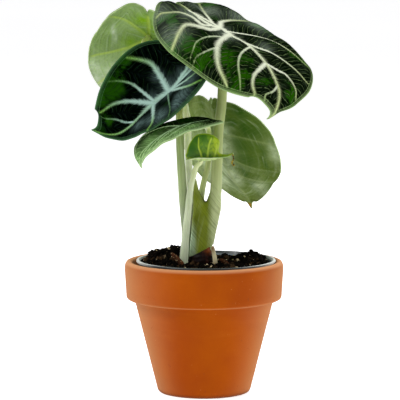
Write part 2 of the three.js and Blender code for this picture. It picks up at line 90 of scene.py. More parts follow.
def open_edges(body):
    """The edges with a face on one side only."""
    return [edge for edge in body.edges if edge.is_boundary]


def close_ends(body):
    """Closes a body's open ends with flat faces."""
    bmesh.ops.holes_fill(body, edges=open_edges(body), sides=0)


def finish_piece(name, body, materials, nodes=()):
    """Makes the piece, gives it its finish and fixes it to the plant."""
    mesh = bpy.data.meshes.new(name)
    body.to_mesh(mesh)
    body.free()
    for material in materials:
        mesh.materials.append(material)
    piece = bpy.data.objects.new(name, mesh)
    bpy.context.scene.collection.objects.link(piece)
    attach(piece, "root")
    if nodes:
        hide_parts(*nodes)
    return piece


def paint(code):
    """A colour written as on a paint card, in the renderer's linear values."""
    values = [int(code[i:i + 2], 16) / 255 for i in (0, 2, 4)]
    return [v / 12.92 if v <= 0.04045 else ((v + 0.055) / 1.055) ** 2.4 for v in values] + [1.0]


def start_finish(name, roughness, specular):
    """A new material with its shader and the point on the object that patterns are read from."""
    finish = bpy.data.materials.new(name)
    finish.use_nodes = True
    tree = finish.node_tree
    shader = tree.nodes["Principled BSDF"]
    shader.inputs["Roughness"].default_value = roughness
    shader.inputs["Specular IOR Level"].default_value = specular
    spot = tree.nodes.new("ShaderNodeTexCoord").outputs["Object"]
    return finish, tree, shader, spot


def plug(tree, socket, value):
    """Sets a socket to a value, or joins it to another socket."""
    if isinstance(value, bpy.types.NodeSocket):
        tree.links.new(value, socket)
    else:
        socket.default_value = value


def grain(tree, spot, scale, detail=3.0, roughness=0.55, stretch=None):
    """Noise at a scale per metre, stretched along its own axes where asked."""
    if stretch:
        mapping = tree.nodes.new("ShaderNodeMapping")
        plug(tree, mapping.inputs["Vector"], spot)
        mapping.inputs["Scale"].default_value = stretch
        spot = mapping.outputs["Vector"]
    node = tree.nodes.new("ShaderNodeTexNoise")
    plug(tree, node.inputs["Vector"], spot)
    node.inputs["Scale"].default_value = scale
    node.inputs["Detail"].default_value = detail
    node.inputs["Roughness"].default_value = roughness
    return node.outputs["Fac"]


def sums(tree, operation, first, second=0.0, third=0.0):
    """One step of arithmetic."""
    node = tree.nodes.new("ShaderNodeMath")
    node.operation = operation
    for socket, value in zip(node.inputs, (first, second, third)):
        plug(tree, socket, value)
    return node.outputs[0]


def times(tree, first, second):
    """One pattern or number times another."""
    return sums(tree, "MULTIPLY", first, second)


def fade(tree, value, low, high, to_low=0.0, to_high=1.0):
    """A smooth step from one level to another."""
    node = tree.nodes.new("ShaderNodeMapRange")
    node.interpolation_type = "SMOOTHSTEP"
    levels = ("Value", "From Min", "From Max", "To Min", "To Max")
    for name, setting in zip(levels, (value, low, high, to_low, to_high)):
        plug(tree, node.inputs[name], setting)
    return node.outputs["Result"]


def blend(tree, amount, first, second):
    """Two colours mixed by an amount."""
    node = tree.nodes.new("ShaderNodeMix")
    node.data_type = "RGBA"
    plug(tree, node.inputs["Factor"], amount)
    plug(tree, node.inputs["A"], paint(first) if isinstance(first, str) else first)
    plug(tree, node.inputs["B"], paint(second) if isinstance(second, str) else second)
    return node.outputs["Result"]


def coat(tree, colour, over, pattern, low, high, most=1.0):
    """A colour with another laid over it where a pattern passes from its low to its high level."""
    return blend(tree, fade(tree, pattern, low, high, 0.0, most), colour, over)


def parts_of(tree, vector):
    """The three numbers of a vector."""
    node = tree.nodes.new("ShaderNodeSeparateXYZ")
    plug(tree, node.inputs[0], vector)
    return node.outputs


def streaks(tree, first, second, scale, detail=2.0, roughness=0.6):
    """Noise read in two of the leaf's own measures, in place of its place in space."""
    node = tree.nodes.new("ShaderNodeCombineXYZ")
    plug(tree, node.inputs[0], first)
    plug(tree, node.inputs[1], second)
    return grain(tree, node.outputs[0], scale, detail, roughness)


def facing(tree):
    """How far a surface turns away from the viewer: 0 straight on, 1 edge on."""
    node = tree.nodes.new("ShaderNodeLayerWeight")
    node.inputs["Blend"].default_value = 0.5
    return node.outputs["Facing"]


def close_to(tree, spot, point, size):
    """How near a surface is to a point in millimetres: 1 at the point and 0 from the size on."""
    node = tree.nodes.new("ShaderNodeVectorMath")
    node.operation = "DISTANCE"
    plug(tree, node.inputs[0], spot)
    node.inputs[1].default_value = place(point)
    return fade(tree, node.outputs["Value"], size * 0.001, 0.0)


def relief(tree, shader, height, strength, depth):
    """Fine surface relief that is too small to model; depth is in metres."""
    node = tree.nodes.new("ShaderNodeBump")
    node.inputs["Strength"].default_value = strength
    node.inputs["Distance"].default_value = depth
    plug(tree, node.inputs["Height"], height)
    tree.links.new(node.outputs["Normal"], shader.inputs["Normal"])


terracotta, tree, shader, spot = start_finish("terracotta", 0.88, specular=0.08)
cloud = grain(tree, spot, 22.0, 4.0)
fine = grain(tree, spot, 900.0, 4.0, 0.7)
bands = grain(tree, spot, 14.0, 3.0, 0.6, stretch=(1.0, 1.0, 7.0))
colour = blend(tree, fade(tree, cloud, 0.35, 0.68), "8e3b00", "994501")
colour = coat(tree, colour, "ad5a14", bands, 0.5, 0.75, 0.15)
colour = coat(tree, colour, "8d3d04", fine, 0.35, 0.75, 0.35)
# Painted sheen: a paler tan where the clay turns edge-on to the viewer.
colour = coat(tree, colour, "ac784c", facing(tree), 0.14, 0.9, 0.7)
# Painted light: the left side paler, where the key light falls.
colour = coat(tree, colour, "bd8c66", parts_of(tree, spot)[0], -0.01, -0.05, 0.12)
specks = grain(tree, spot, 420.0, 2.0)
# Painted highlight: a pale band along the crest of the rim.
crest_highlight = times(tree, fade(tree, parts_of(tree, spot)[2], 0.0968, 0.0995), 0.55)
colour = blend(tree, crest_highlight, colour, "d9a074")
colour = coat(tree, colour, "7a3a18", specks, 0.7, 0.76, 0.6)
colour = coat(tree, colour, "d99a62", specks, 0.27, 0.22, 0.35)
# Painted contact shadow: darker in the lowest few millimetres at the foot.
colour = coat(tree, colour, "52220c", parts_of(tree, spot)[2], 0.004, 0.0005, 0.6)
plug(tree, shader.inputs["Base Color"], colour)
plug(tree, shader.inputs["Roughness"], fade(tree, cloud, 0.3, 0.7, 0.8, 0.95))
relief(tree, shader, sums(tree, "ADD", fine, times(tree, bands, 0.5)), 0.35, 0.0004)

body = turned(CLAY_SECTION, CLAY_SIDES)
soften(body, CLAY_EDGE)
finish_piece("Clay_pot", body, [terracotta], ["terracotta_pot"])


# Grower's pot
# The thin black plastic pot that the plant was raised in, moulded with a rolled lip.
# It stands loose inside the clay pot, a little to the right.
GROWER_MIDDLE = (1.5, 0.0)
GROWER_SECTION = [
    (4.0, 6.3), (28.2, 6.3), (51.3, 98.7), (52.4, 99.0), (52.65, 99.4), (52.6, 100.2), (52.2, 100.65),
    (51.6, 100.8), (50.8, 100.7), (50.4, 100.2), (27.2, 7.5), (4.0, 7.5), (4.0, 6.3),
]
GROWER_SIDES = 128
GROWER_ACROSS = 0.0058
GROWER_FLOOR = 7.8
SOIL_RADIUS = 48.9

plastic, tree, shader, spot = start_finish("grower_plastic", 0.42, specular=0.45)
dust = grain(tree, spot, 160.0, 4.0)
colour = blend(tree, fade(tree, dust, 0.45, 0.75), "4a565c", "74808a")
across, _, height = parts_of(tree, spot)
ends = fade(tree, sums(tree, "ABSOLUTE", sums(tree, "ADD", across, -GROWER_ACROSS)), 0.022, 0.043, 0.12, 1.0)
lip = fade(tree, height, 0.0985, 0.0993)
colour = blend(tree, lip, colour, "22292d")
# Painted highlight: pale grey on the lip's left and right ends, strongest where the lip turns edge-on to the
# viewer.
lip = times(tree, lip, ends)
colour = blend(tree, times(tree, lip, fade(tree, facing(tree), 0.25, 0.85)), colour, "cdd1cd")
plug(tree, shader.inputs["Base Color"], colour)
plug(tree, shader.inputs["Roughness"], fade(tree, dust, 0.4, 0.7, 0.34, 0.6))
relief(tree, shader, dust, 0.15, 0.0002)

body = turned(GROWER_SECTION, GROWER_SIDES, GROWER_MIDDLE)
soften(body, 40.0)
finish_piece("Grower_pot", body, [plastic], ["grower_pot"])


# Soil
# Dark peaty potting soil heaped behind the stalks, loose on top, with crumbs and bark chips.
# The bed fills the grower's pot; the crumbs and chips lie pressed into it.
SOIL_LEVEL = 96.6
SOIL_HEAPS = [(7.4, -36.0, 14.0, 20.0, 20.0), (8.2, -14.0, 19.0, 13.0, 15.0), (6.2, 36.0, 16.0, 11.0, 16.0)]
SOIL_BRIM = 100.0
SOIL_LUMP = 0.9
SOIL_ROUGHNESS = 0.9
SOIL_WALL = 0.12
SOIL_TAPER = 0.535
SOIL_RINGS = 70
SOIL_SIDES = 220
CRUMB_REACH = 47.0
CRUMBS = 3600
HEAP = 60
CHIPS = 420


def soil_height(x, y):
    """The bed's height: its level, the heaps and lumps of two sizes, and not over the brim at the wall."""
    height = SOIL_LEVEL
    for tall, mx, my, wide, deep in SOIL_HEAPS:
        height += tall * math.exp(-(((x - mx) / wide) ** 2) - ((y - my) / deep) ** 2)
    lumps = math.sin(x * 0.61 + 1.3) * math.cos(y * 0.53 - 0.7) + 0.6 * math.sin(x * 1.37 - y * 1.13)
    height += SOIL_LUMP * lumps
    share = math.hypot(x - GROWER_MIDDLE[0], y) / SOIL_RADIUS
    near = min(max((1.0 - share) / SOIL_WALL, 0.0), 1.0)
    near = near * near * (3.0 - 2.0 * near)
    edge = min(max(height, SOIL_LEVEL), SOIL_BRIM)
    return edge + (height - edge) * near


peat, tree, shader, spot = start_finish("peat", 0.95, specular=0.02)
mottle = grain(tree, spot, 700.0, 5.0, 0.7)
colour = blend(tree, fade(tree, mottle, 0.35, 0.75), "020201", "110c08")
flecks = grain(tree, spot, 1300.0, 2.0)
colour = coat(tree, colour, "6b5a41", flecks, 0.66, 0.74, 0.7)
plug(tree, shader.inputs["Base Color"], colour)
relief(tree, shader, mottle, 0.8, 0.0012)

section = [(SOIL_RADIUS * i / SOIL_RINGS, 0.0) for i in range(SOIL_RINGS + 1)]
body = turned(section, SOIL_SIDES, GROWER_MIDDLE)
wall = bmesh.ops.extrude_edge_only(body, edges=open_edges(body))["geom"]
foot = {item for item in wall if isinstance(item, bmesh.types.BMVert)}
for vertex in body.verts:
    x, y = ((vertex.co - POT_AXIS) * 1000).xy
    if vertex in foot:
        inward = GROWER_MIDDLE[0] + (x - GROWER_MIDDLE[0]) * SOIL_TAPER
        vertex.co = place((inward, y * SOIL_TAPER, GROWER_FLOOR))
    else:
        rough = SOIL_ROUGHNESS * noise.fractal(Vector((x, y, 3.0)) * 0.45, 1.0, 2.0, 4)
        share = math.hypot(x - GROWER_MIDDLE[0], y) / SOIL_RADIUS
        vertex.co.z = (soil_height(x, y) + rough * min(1.0, (1.0 - share) * 14.0)) * 0.001
close_ends(body)
bmesh.ops.recalc_face_normals(body, faces=body.faces)
soften(body, 60.0)
finish_piece("Soil_bed", body, [peat], ["soil"])


def read(tree, name):
    """A named value that the mesh carries, as a number and as a vector."""
    node = tree.nodes.new("ShaderNodeAttribute")
    node.attribute_name = name
    return node.outputs["Fac"], node.outputs["Vector"]


crumb_finish, tree, shader, spot = start_finish("soil_crumbs", 0.95, specular=0.02)
kind = read(tree, "kind")[0]
colour = blend(tree, fade(tree, kind, 0.0, 0.75), "010101", "0f0b07")
colour = coat(tree, colour, "3c2c1c", kind, 0.76, 0.86)
colour = coat(tree, colour, "d2bf98", kind, 0.945, 0.96)
mottle = grain(tree, spot, 1500.0, 3.0)
colour = coat(tree, colour, "0f0c09", mottle, 0.3, 0.75, 0.45)
plug(tree, shader.inputs["Base Color"], colour)
relief(tree, shader, mottle, 0.6, 0.0004)

dice = random.Random(7)


def random_turn():
    """A random turn of a crumb or chip."""
    spins = [Matrix.Rotation(dice.uniform(0.0, math.tau), 4, axis) for axis in "XYZ"]
    return spins[0] @ spins[1] @ spins[2]


def soil_spot(lift):
    """A random place on the bed."""
    angle = dice.uniform(0.0, math.tau)
    radius = CRUMB_REACH * math.sqrt(dice.random())
    x = GROWER_MIDDLE[0] + radius * math.cos(angle)
    y = radius * math.sin(angle)
    return place((x, y, soil_height(x, y) + lift))


def joined(bodies):
    """Several bodies put into one mesh, not fused."""
    heap = bmesh.new()
    for body in bodies:
        mesh = bpy.data.meshes.new("heap")
        body.to_mesh(mesh)
        body.free()
        heap.from_mesh(mesh)
        bpy.data.meshes.remove(mesh)
    return heap


def crumb_heap(count):
    """A few loose crumbs of soil, each a small uneven lump."""
    body = bmesh.new()
    tint = body.verts.layers.float.new("kind")
    for _ in range(count):
        size = 0.001 * (0.5 + 2.7 * dice.random() ** 4)
        shape = Matrix.Diagonal((1.0, dice.uniform(0.6, 1.0), dice.uniform(0.5, 0.9), 1.0))
        matrix = Matrix.Translation(soil_spot(0.35)) @ random_turn() @ shape
        made = bmesh.ops.create_icosphere(body, subdivisions=1, radius=size, matrix=matrix)["verts"]
        shade = dice.random()
        for vertex in made:
            vertex.co += Vector([dice.uniform(-0.25, 0.25) for _ in range(3)]) * size
            vertex[tint] = shade
    return body


body = joined([crumb_heap(HEAP) for _ in range(CRUMBS // HEAP)])
finish_piece("Soil_crumbs", body, [crumb_finish])

body = bmesh.new()
tint = body.verts.layers.float.new("kind")
for number in range(CHIPS):
    long = dice.uniform(1.2, 4.2)
    thin = dice.uniform(0.25, 0.8)
    shape = Matrix.Diagonal((long, thin * dice.uniform(1.0, 2.0), thin, 1.0))
    lean = Matrix.Rotation(dice.uniform(0.0, math.tau), 4, "Z")
    lean = lean @ Matrix.Rotation(dice.uniform(-0.5, 0.5), 4, "Y")
    matrix = Matrix.Translation(soil_spot(0.5)) @ lean @ shape
    made = bmesh.ops.create_cube(body, size=0.001, matrix=matrix)["verts"]
    shade = 0.75 + 0.25 * dice.random() if number % 3 == 0 else dice.random() * 0.8
    for vertex in made:
        vertex.co += Vector([dice.uniform(-0.3, 0.3) for _ in range(3)]) * thin * 0.001
        vertex[tint] = shade
bmesh.ops.bevel(
    body, geom=body.edges[:], offset=0.00008, offset_type="OFFSET", segments=1, profile=0.5, affect="EDGES",
    material=-1,
)
finish_piece("Soil_chips", body, [crumb_finish])


# Corm
# The swollen foot of the plant, half out of the soil, under a reddish brown fibrous skin.
# Ridges ring it where old leaves have dropped, and the sheath is cut back from it on a slant.
CORM_MIDDLE = Vector((-2.0, -1.0, 99.5))
CORM_SIZE = Vector((9.5, 6.6, 13.0))
CORM_RIDGES = (0.025, 26.0)
CORM_ROUGHNESS = 0.05
CUT_PLACE = Vector((-11.0, 0.0, 102.6))
CUT_SLOPE = math.radians(27.8)
CUT_UP = Vector((-math.sin(CUT_SLOPE), 0.0, math.cos(CUT_SLOPE)))


def cut_on_slant(body, lift, **cleared):
    """Cuts a body along the corm's slant, or a lift above it, clears one side and closes the cut."""
    bmesh.ops.bisect_plane(
        body, geom=body.verts[:] + body.edges[:] + body.faces[:], plane_co=place(CUT_PLACE + CUT_UP * lift),
        plane_no=CUT_UP, **cleared,
    )
    close_ends(body)


corm_skin, tree, shader, spot = start_finish("corm_skin", 0.5, specular=0.12)
fibre = grain(tree, spot, 260.0, 5.0, 0.7, stretch=(1.0, 1.0, 0.35))
patch = grain(tree, spot, 130.0, 3.0)
colour = blend(tree, fade(tree, fibre, 0.4, 0.75), "0a0201", "2e0f05")
colour = coat(tree, colour, "4a1e08", patch, 0.6, 0.74, 0.5)
# Painted highlight: orange-brown along the fibres near the cut edge.
cut_edge_highlight = close_to(tree, spot, (5.5, -5.0, 111.5), 9.0)
colour = blend(tree, times(tree, cut_edge_highlight, fade(tree, fibre, 0.3, 0.6, 0.45, 1.0)), colour, "96480f")
plug(tree, shader.inputs["Base Color"], colour)
relief(tree, shader, fibre, 0.8, 0.0008)

body = bmesh.new()
bmesh.ops.create_uvsphere(body, u_segments=72, v_segments=48, radius=1.0)
for vertex in body.verts:
    spot_on = vertex.co.copy()
    ridge = CORM_RIDGES[0] * math.sin(spot_on.z * CORM_RIDGES[1] + 2.0 * noise.noise(spot_on * 2.0))
    rough = CORM_ROUGHNESS * noise.fractal(spot_on * 3.0, 1.0, 2.0, 4)
    flat = Vector((spot_on.x * CORM_SIZE.x, spot_on.y * CORM_SIZE.y, spot_on.z * CORM_SIZE.z))
    vertex.co = place(CORM_MIDDLE + flat * (0.99 + ridge + rough))
cut_on_slant(body, 0.0, clear_outer=True)
soften(body, 50.0)
finish_piece("Corm", body, [corm_skin], ["corm"])


# Stalks
# Round fleshy leaf stalks, pale green with fine lengthwise lines, each rising from the soil to the
# underside of its blade. They grow from one corm and part from one another as they rise.
STALKS = {
    "b": {
        "path": [(-13.2, 6.3, 88), (-13.4, 5.8, 122), (-14.9, 5.6, 138), (-16.7, 5.6, 161), (-18, 6.5, 184),
                 (-18.6, 9, 209)],
        "foot": 4.1, "top": 2.4, "knee": 9, "hub": (-24.6, 5, 228.2),
        "colours": ("6c7860", "84945f", "a4b250"),
    },
    "c": {
        "path": [(-7.9, 12.3, 88), (-9.4, 12.3, 138), (-11.1, 13, 162), (-12.1, 14.5, 185), (-13.2, 17, 208),
                 (-21, 27, 236), (-36, 38, 255)],
        "foot": 2.9, "top": 2.5, "knee": 9, "hub": (-42.6, 50, 266),
        # Stalk c's colours are near white: partly its own pale tone, partly painted light that lifts it out
        # of stalk b's shade.
        "colours": ("e0e5d2", "e4eac2", "e4ea9c"),
    },
    "d": {
        "path": [(3.2, 11.8, 88), (4.2, 11.5, 112), (6.8, 11, 135), (8.5, 11.5, 155), (7.5, 17, 175)],
        "foot": 2.3, "top": 2.2, "knee": 9, "hub": (9.7, 29.7, 189.4),
        "colours": ("9fae74", "97a660", "8a9c4c"),
    },
    "e": {
        "path": [(-2.1, 12.2, 88), (-2.6, 10.2, 125), (-2, 8.8, 148), (0.3, 8.2, 160.5), (2.4, 7.8, 169),
                 (3.8, 6, 182), (3, -2, 199.5), (-1, -14, 203)],
        "foot": 2.5, "top": 2.0, "knee": 2.4, "hub": (-7.5, -24, 205.7),
        "colours": ("9fae74", "a9b570", "98aa58"),
    },
    "f": {
        "path": [(-16, -6.5, 88), (-14.7, -6.8, 108.7), (-13.4, -7.5, 124), (-11.8, -8.5, 139.4),
                 (-10.3, -10, 154.5), (-7.6, -11.5, 166), (-5.8, -12.2, 172)],
        "foot": 3.4, "top": 1.8, "knee": 2, "hub": (-2.8, -14.1, 177.2),
        "colours": ("aeb99c", "b2bc9c", "c0c894"),
    },
}
STALK_SIDES = 28
STALK_STEP = 1.3
LINE_POINTS = 60


def run_along(line):
    """How far along a line each of its points lies."""
    return numpy.concatenate([[0.0], numpy.cumsum(numpy.linalg.norm(numpy.diff(line, axis=0), axis=1))])


def smooth_line(points, count):
    """Evenly spaced points on the curve through the given points, with no loops at uneven spans."""
    points = numpy.array(points, float)
    points = numpy.vstack([2 * points[0] - points[1], points, 2 * points[-1] - points[-2]])
    run = []
    for p0, p1, p2, p3 in zip(points, points[1:], points[2:], points[3:]):
        spans = [max(numpy.linalg.norm(b - a), 1e-6) ** 0.5 for a, b in ((p0, p1), (p1, p2), (p2, p3))]
        into = ((p1 - p0) / spans[0] - (p2 - p0) / (spans[0] + spans[1]) + (p2 - p1) / spans[1]) * spans[1]
        away = ((p2 - p1) / spans[1] - (p3 - p1) / (spans[1] + spans[2]) + (p3 - p2) / spans[2]) * spans[1]
        for t in numpy.linspace(0.0, 1.0, 40, endpoint=False):
            cubic = (2 * p1 - 2 * p2 + into + away) * t ** 3 + (-3 * p1 + 3 * p2 - 2 * into - away) * t ** 2
            run.append(cubic + into * t + p1)
    run = numpy.array(run + [points[-2]])
    lengths = run_along(run)
    wanted = numpy.linspace(0.0, lengths[-1], count)
    return numpy.stack([numpy.interp(wanted, lengths, run[:, i]) for i in range(run.shape[1])], axis=1)


def rolled(line, radii, sides=STALK_SIDES, squash=1.0):
    """A round body along a line: a sheet rolled round it, its seam joined and its ends closed.
    Each point keeps its place on the straightened stalk, for the lines that run along it."""
    body = bmesh.new()
    steps = len(line) - 1
    bmesh.ops.create_grid(body, x_segments=steps, y_segments=sides, size=1.0)
    straight = body.verts.layers.float_vector.new("straight")
    aim = [Vector(line[min(i + 1, steps)] - line[max(i - 1, 0)]).normalized() for i in range(steps + 1)]
    right = Vector((1.0, 0.0, 0.0))
    frames = []
    for direction in aim:
        right = (right - direction * right.dot(direction)).normalized()
        frames.append((right.copy(), direction.cross(right)))
    length = run_along(line)
    for vertex in body.verts:
        station = round((vertex.co.x + 1.0) / 2.0 * steps)
        angle = (vertex.co.y + 1.0) * math.pi
        across, over = frames[station]
        turn = across * math.cos(angle) + over * math.sin(angle) * squash
        vertex.co = place(Vector(line[station]) + turn * radii[station])
        vertex[straight] = Vector((math.cos(angle) * 3.0, math.sin(angle) * 3.0, length[station])) * 0.001
    bmesh.ops.remove_doubles(body, verts=body.verts, dist=1e-6)
    close_ends(body)
    bmesh.ops.recalc_face_normals(body, faces=body.faces)
    soften(body, 60.0)
    return body


def let_light_in(shader, weight, radius, depth):
    """Lets some light in under a fleshy skin; depth is in metres."""
    shader.inputs["Subsurface Weight"].default_value = weight
    shader.inputs["Subsurface Radius"].default_value = radius
    shader.inputs["Subsurface Scale"].default_value = depth


def stalk_finish(name, length, foot, middle, top):
    """Fleshy stalk skin: its colour changes from foot to blade, under lines along it and fine flecks, and
    a painted sheen pales its edges where they turn from the viewer.
    """
    finish, tree, shader, _ = start_finish(name, 0.5, specular=0.25)
    straight = read(tree, "straight")[1]
    along = parts_of(tree, straight)[2]
    lines = grain(tree, straight, 900.0, 3.0, 0.6, stretch=(1.0, 1.0, 0.03))
    cloud = grain(tree, straight, 120.0, 3.0, 0.6, stretch=(1.0, 1.0, 0.5))
    flecks = grain(tree, straight, 700.0, 2.0, 0.5, stretch=(1.0, 1.0, 0.35))
    colour = blend(tree, fade(tree, along, 0.15 * length, 0.6 * length), foot, middle)
    colour = coat(tree, colour, top, along, 0.65 * length, 0.98 * length)
    colour = coat(tree, colour, "7f9155", cloud, 0.42, 0.7, 0.3)
    colour = coat(tree, colour, "dde2c4", lines, 0.4, 0.75, 0.2)
    colour = coat(tree, colour, "6f7448", flecks, 0.72, 0.77, 0.5)
    # Painted sheen: paler edges where the skin turns edge-on to the viewer.
    colour = coat(tree, colour, "e4ead2", facing(tree), 0.5, 1.0, 0.5)
    plug(tree, shader.inputs["Base Color"], colour)
    let_light_in(shader, 0.12, (0.6, 1.0, 0.25), 0.002)
    relief(tree, shader, sums(tree, "ADD", lines, cloud), 0.12, 0.0003)
    return finish


def leaf_axes(heading, pitch, roll):
    """A leaf's own axes: along its midrib, to its left half, and out of its upper face."""
    turn = math.radians(heading)
    rise = math.radians(pitch)
    forward = Vector((math.cos(rise) * math.cos(turn), math.cos(rise) * math.sin(turn), math.sin(rise)))
    left = Matrix.Rotation(math.radians(roll), 3, forward) @ Vector((-math.sin(turn), math.cos(turn), 0.0))
    return forward, left, forward.cross(left)


SET = {"a": (-39, -22, -8), "b": (167, -44, -43), "c": (92, -51, 21), "d": (64, -63, 24), "e": (207, -7, -6),
       "f": (-12, 1, 38)}


def stalk_line(letter, stalk):
    """The stalk's middle line, from its foot to just inside its blade, square to the blade at the end."""
    up = leaf_axes(*SET[letter])[2]
    hub = Vector(stalk["hub"])
    points = [Vector(point) for point in stalk["path"]] + [hub - up * stalk["knee"], hub - up * 0.1]
    rough = smooth_line(points, LINE_POINTS)
    length = numpy.linalg.norm(numpy.diff(rough, axis=0), axis=1).sum()
    return smooth_line(points, int(length / STALK_STEP)), length


for letter, stalk in STALKS.items():
    line, length = stalk_line(letter, stalk)
    share = numpy.linspace(0.0, 1.0, len(line))
    radii = stalk["foot"] + (stalk["top"] - stalk["foot"]) * share
    radii += 0.06 * numpy.sin(share * length / 7.0) + 0.05 * numpy.sin(share * length / 3.1 + 1.0)
    body = rolled(line, radii)
    finish = stalk_finish("stalk_skin_" + letter, length * 0.001, *stalk["colours"])
    finish_piece("Stalk_" + letter, body, [finish], ["stalk_" + letter])


# Sheathed stalk
# The thick stalk of the largest leaf. At its foot it widens into a flat sheath, which wrapped the
# next leaf in the bud and now ends in a horn on the left; all of it is one fleshy body.
SHEATHED = {
    "path": [(-0.5, 0, 98), (1.2, 0, 115), (4.9, 0, 132), (8.6, 0, 150), (9.6, 1, 172), (10.8, 1.5, 199),
             (13, 1, 216), (13.7, 0, 232), (12.6, -3, 254)],
    "foot": 5.1, "top": 3, "knee": 9, "hub": (11.6, -6.3, 275.2),
}
SHEATH_LAPS = [
    ([(-2, 0, 96), (-2.1, 0, 105.5), (-1.3, 0, 115), (-0.5, 0, 124.5), (-0.6, 0, 134), (-3.7, 0, 143.5),
      (-5.9, 0, 152.5), (-6.4, 0, 162)], [8.8, 8.9, 9, 9, 8.7, 4.9, 2.3, 0.7]),
    ([(-0.6, 0, 96), (0.3, 0, 107), (1.8, 0, 118), (3.8, 0, 129), (6.6, 0, 140), (8.6, 0, 151)],
     [6.2, 6.2, 6.6, 7, 6.4, 4.4]),
]
SHEATH_FLATNESS = 0.62
SHEATH_GAP = 0.1
SHEATH_VOXEL = 0.55


def fused(body, voxel, smoothing):
    """The bodies grown into one skin and smoothed."""
    mesh = bpy.data.meshes.new("fuse")
    body.to_mesh(mesh)
    body.free()
    rough = bpy.data.objects.new("fuse", mesh)
    bpy.context.scene.collection.objects.link(rough)
    remesh = rough.modifiers.new("Skin", "REMESH")
    remesh.mode = "VOXEL"
    remesh.voxel_size = voxel * 0.001
    smooth = rough.modifiers.new("Smooth", "SMOOTH")
    smooth.factor = 0.6
    smooth.iterations = smoothing
    done = bmesh.new()
    done.from_mesh(rough.evaluated_get(bpy.context.evaluated_depsgraph_get()).to_mesh())
    bpy.data.objects.remove(rough)
    bpy.data.meshes.remove(mesh)
    return done


line, length = stalk_line("a", SHEATHED)
share = numpy.linspace(0.0, 1.0, len(line))
stem = rolled(line, SHEATHED["foot"] + (SHEATHED["top"] - SHEATHED["foot"]) * share)
laps = []
for points, radii in SHEATH_LAPS:
    lap = smooth_line(points, LINE_POINTS)
    widths = numpy.interp(numpy.linspace(0, 1, LINE_POINTS), numpy.linspace(0, 1, len(radii)), radii)
    laps.append(rolled(lap, widths, squash=SHEATH_FLATNESS))
body = fused(joined([stem] + laps), SHEATH_VOXEL, 6)
cut_on_slant(body, SHEATH_GAP, clear_inner=True)
bmesh.ops.recalc_face_normals(body, faces=body.faces)
straight = body.verts.layers.float_vector.get("straight") or body.verts.layers.float_vector.new("straight")
along_line = run_along(line)
for vertex in body.verts:
    here = (vertex.co - POT_AXIS) * 1000
    nearest = int(numpy.argmin(((line - numpy.array(here)) ** 2).sum(axis=1)))
    away = here - Vector(line[nearest])
    vertex[straight] = Vector((away.x * 0.7, away.y * 0.7, along_line[nearest])) * 0.001
soften(body, 50.0)

sheath_skin, tree, shader, spot = start_finish("sheath_skin", 0.5, specular=0.2)
straight = read(tree, "straight")[1]
sideways, _, height = parts_of(tree, spot)
lines = grain(tree, straight, 700.0, 3.0, 0.6, stretch=(1.0, 1.0, 0.02))
over = sums(tree, "MULTIPLY_ADD", sideways, 1.2, height)
under = sums(tree, "MULTIPLY_ADD", height, 1.2, times(tree, sideways, -1.0))
oblique = streaks(tree, times(tree, over, 700.0), times(tree, under, 30.0), 1.0)
cloud = grain(tree, spot, 90.0, 3.0, 0.6)
flecks = grain(tree, spot, 900.0, 2.0, 0.5)
colour = blend(tree, fade(tree, cloud, 0.35, 0.65), "647102", "6f7c0e")
# Painted light: paler on the right side, where the light falls.
colour = coat(tree, colour, "a0ab78", sideways, 0.0062, 0.0115)
colour = coat(tree, colour, "8d985f", height, 0.146, 0.175)
colour = coat(tree, colour, "9ea85c", height, 0.21, 0.27)
# Painted sheen: paler where the skin turns edge-on to the viewer.
colour = coat(tree, colour, "c9d0b2", facing(tree), 0.45, 1.0, 0.3)
# Lower left: partly the sheath's own bluish tone, partly painted light that lifts it pale where stalk f
# shades it.
bluish = times(tree, fade(tree, sideways, -0.0005, -0.0045), fade(tree, height, 0.132, 0.116))
colour = blend(tree, bluish, colour, "c2dab6")
colour = coat(tree, colour, "d4dab2", lines, 0.45, 0.75, 0.12)
oblique = times(tree, fade(tree, oblique, 0.46, 0.66, 0.0, 0.5), fade(tree, height, 0.165, 0.14))
colour = blend(tree, oblique, colour, "47540a")
# Painted shade: a dark spot in the notch where the stalks part.
colour = blend(tree, close_to(tree, spot, (0.8, 0.0, 146.0), 4.2), colour, "1c1608")
low = close_to(tree, spot, (7.0, -5.0, 114.0), 9.0)
speckled = sums(tree, "ADD", flecks, times(tree, low, 0.12))
colour = coat(tree, colour, "4a3012", speckled, 0.72, 0.77, 0.8)
plug(tree, shader.inputs["Base Color"], colour)
let_light_in(shader, 0.1, (0.6, 1.0, 0.25), 0.002)
relief(tree, shader, sums(tree, "ADD", lines, oblique), 0.15, 0.0003)
finish_piece("Sheathed_stalk", body, [sheath_skin], ["stalk_a"])


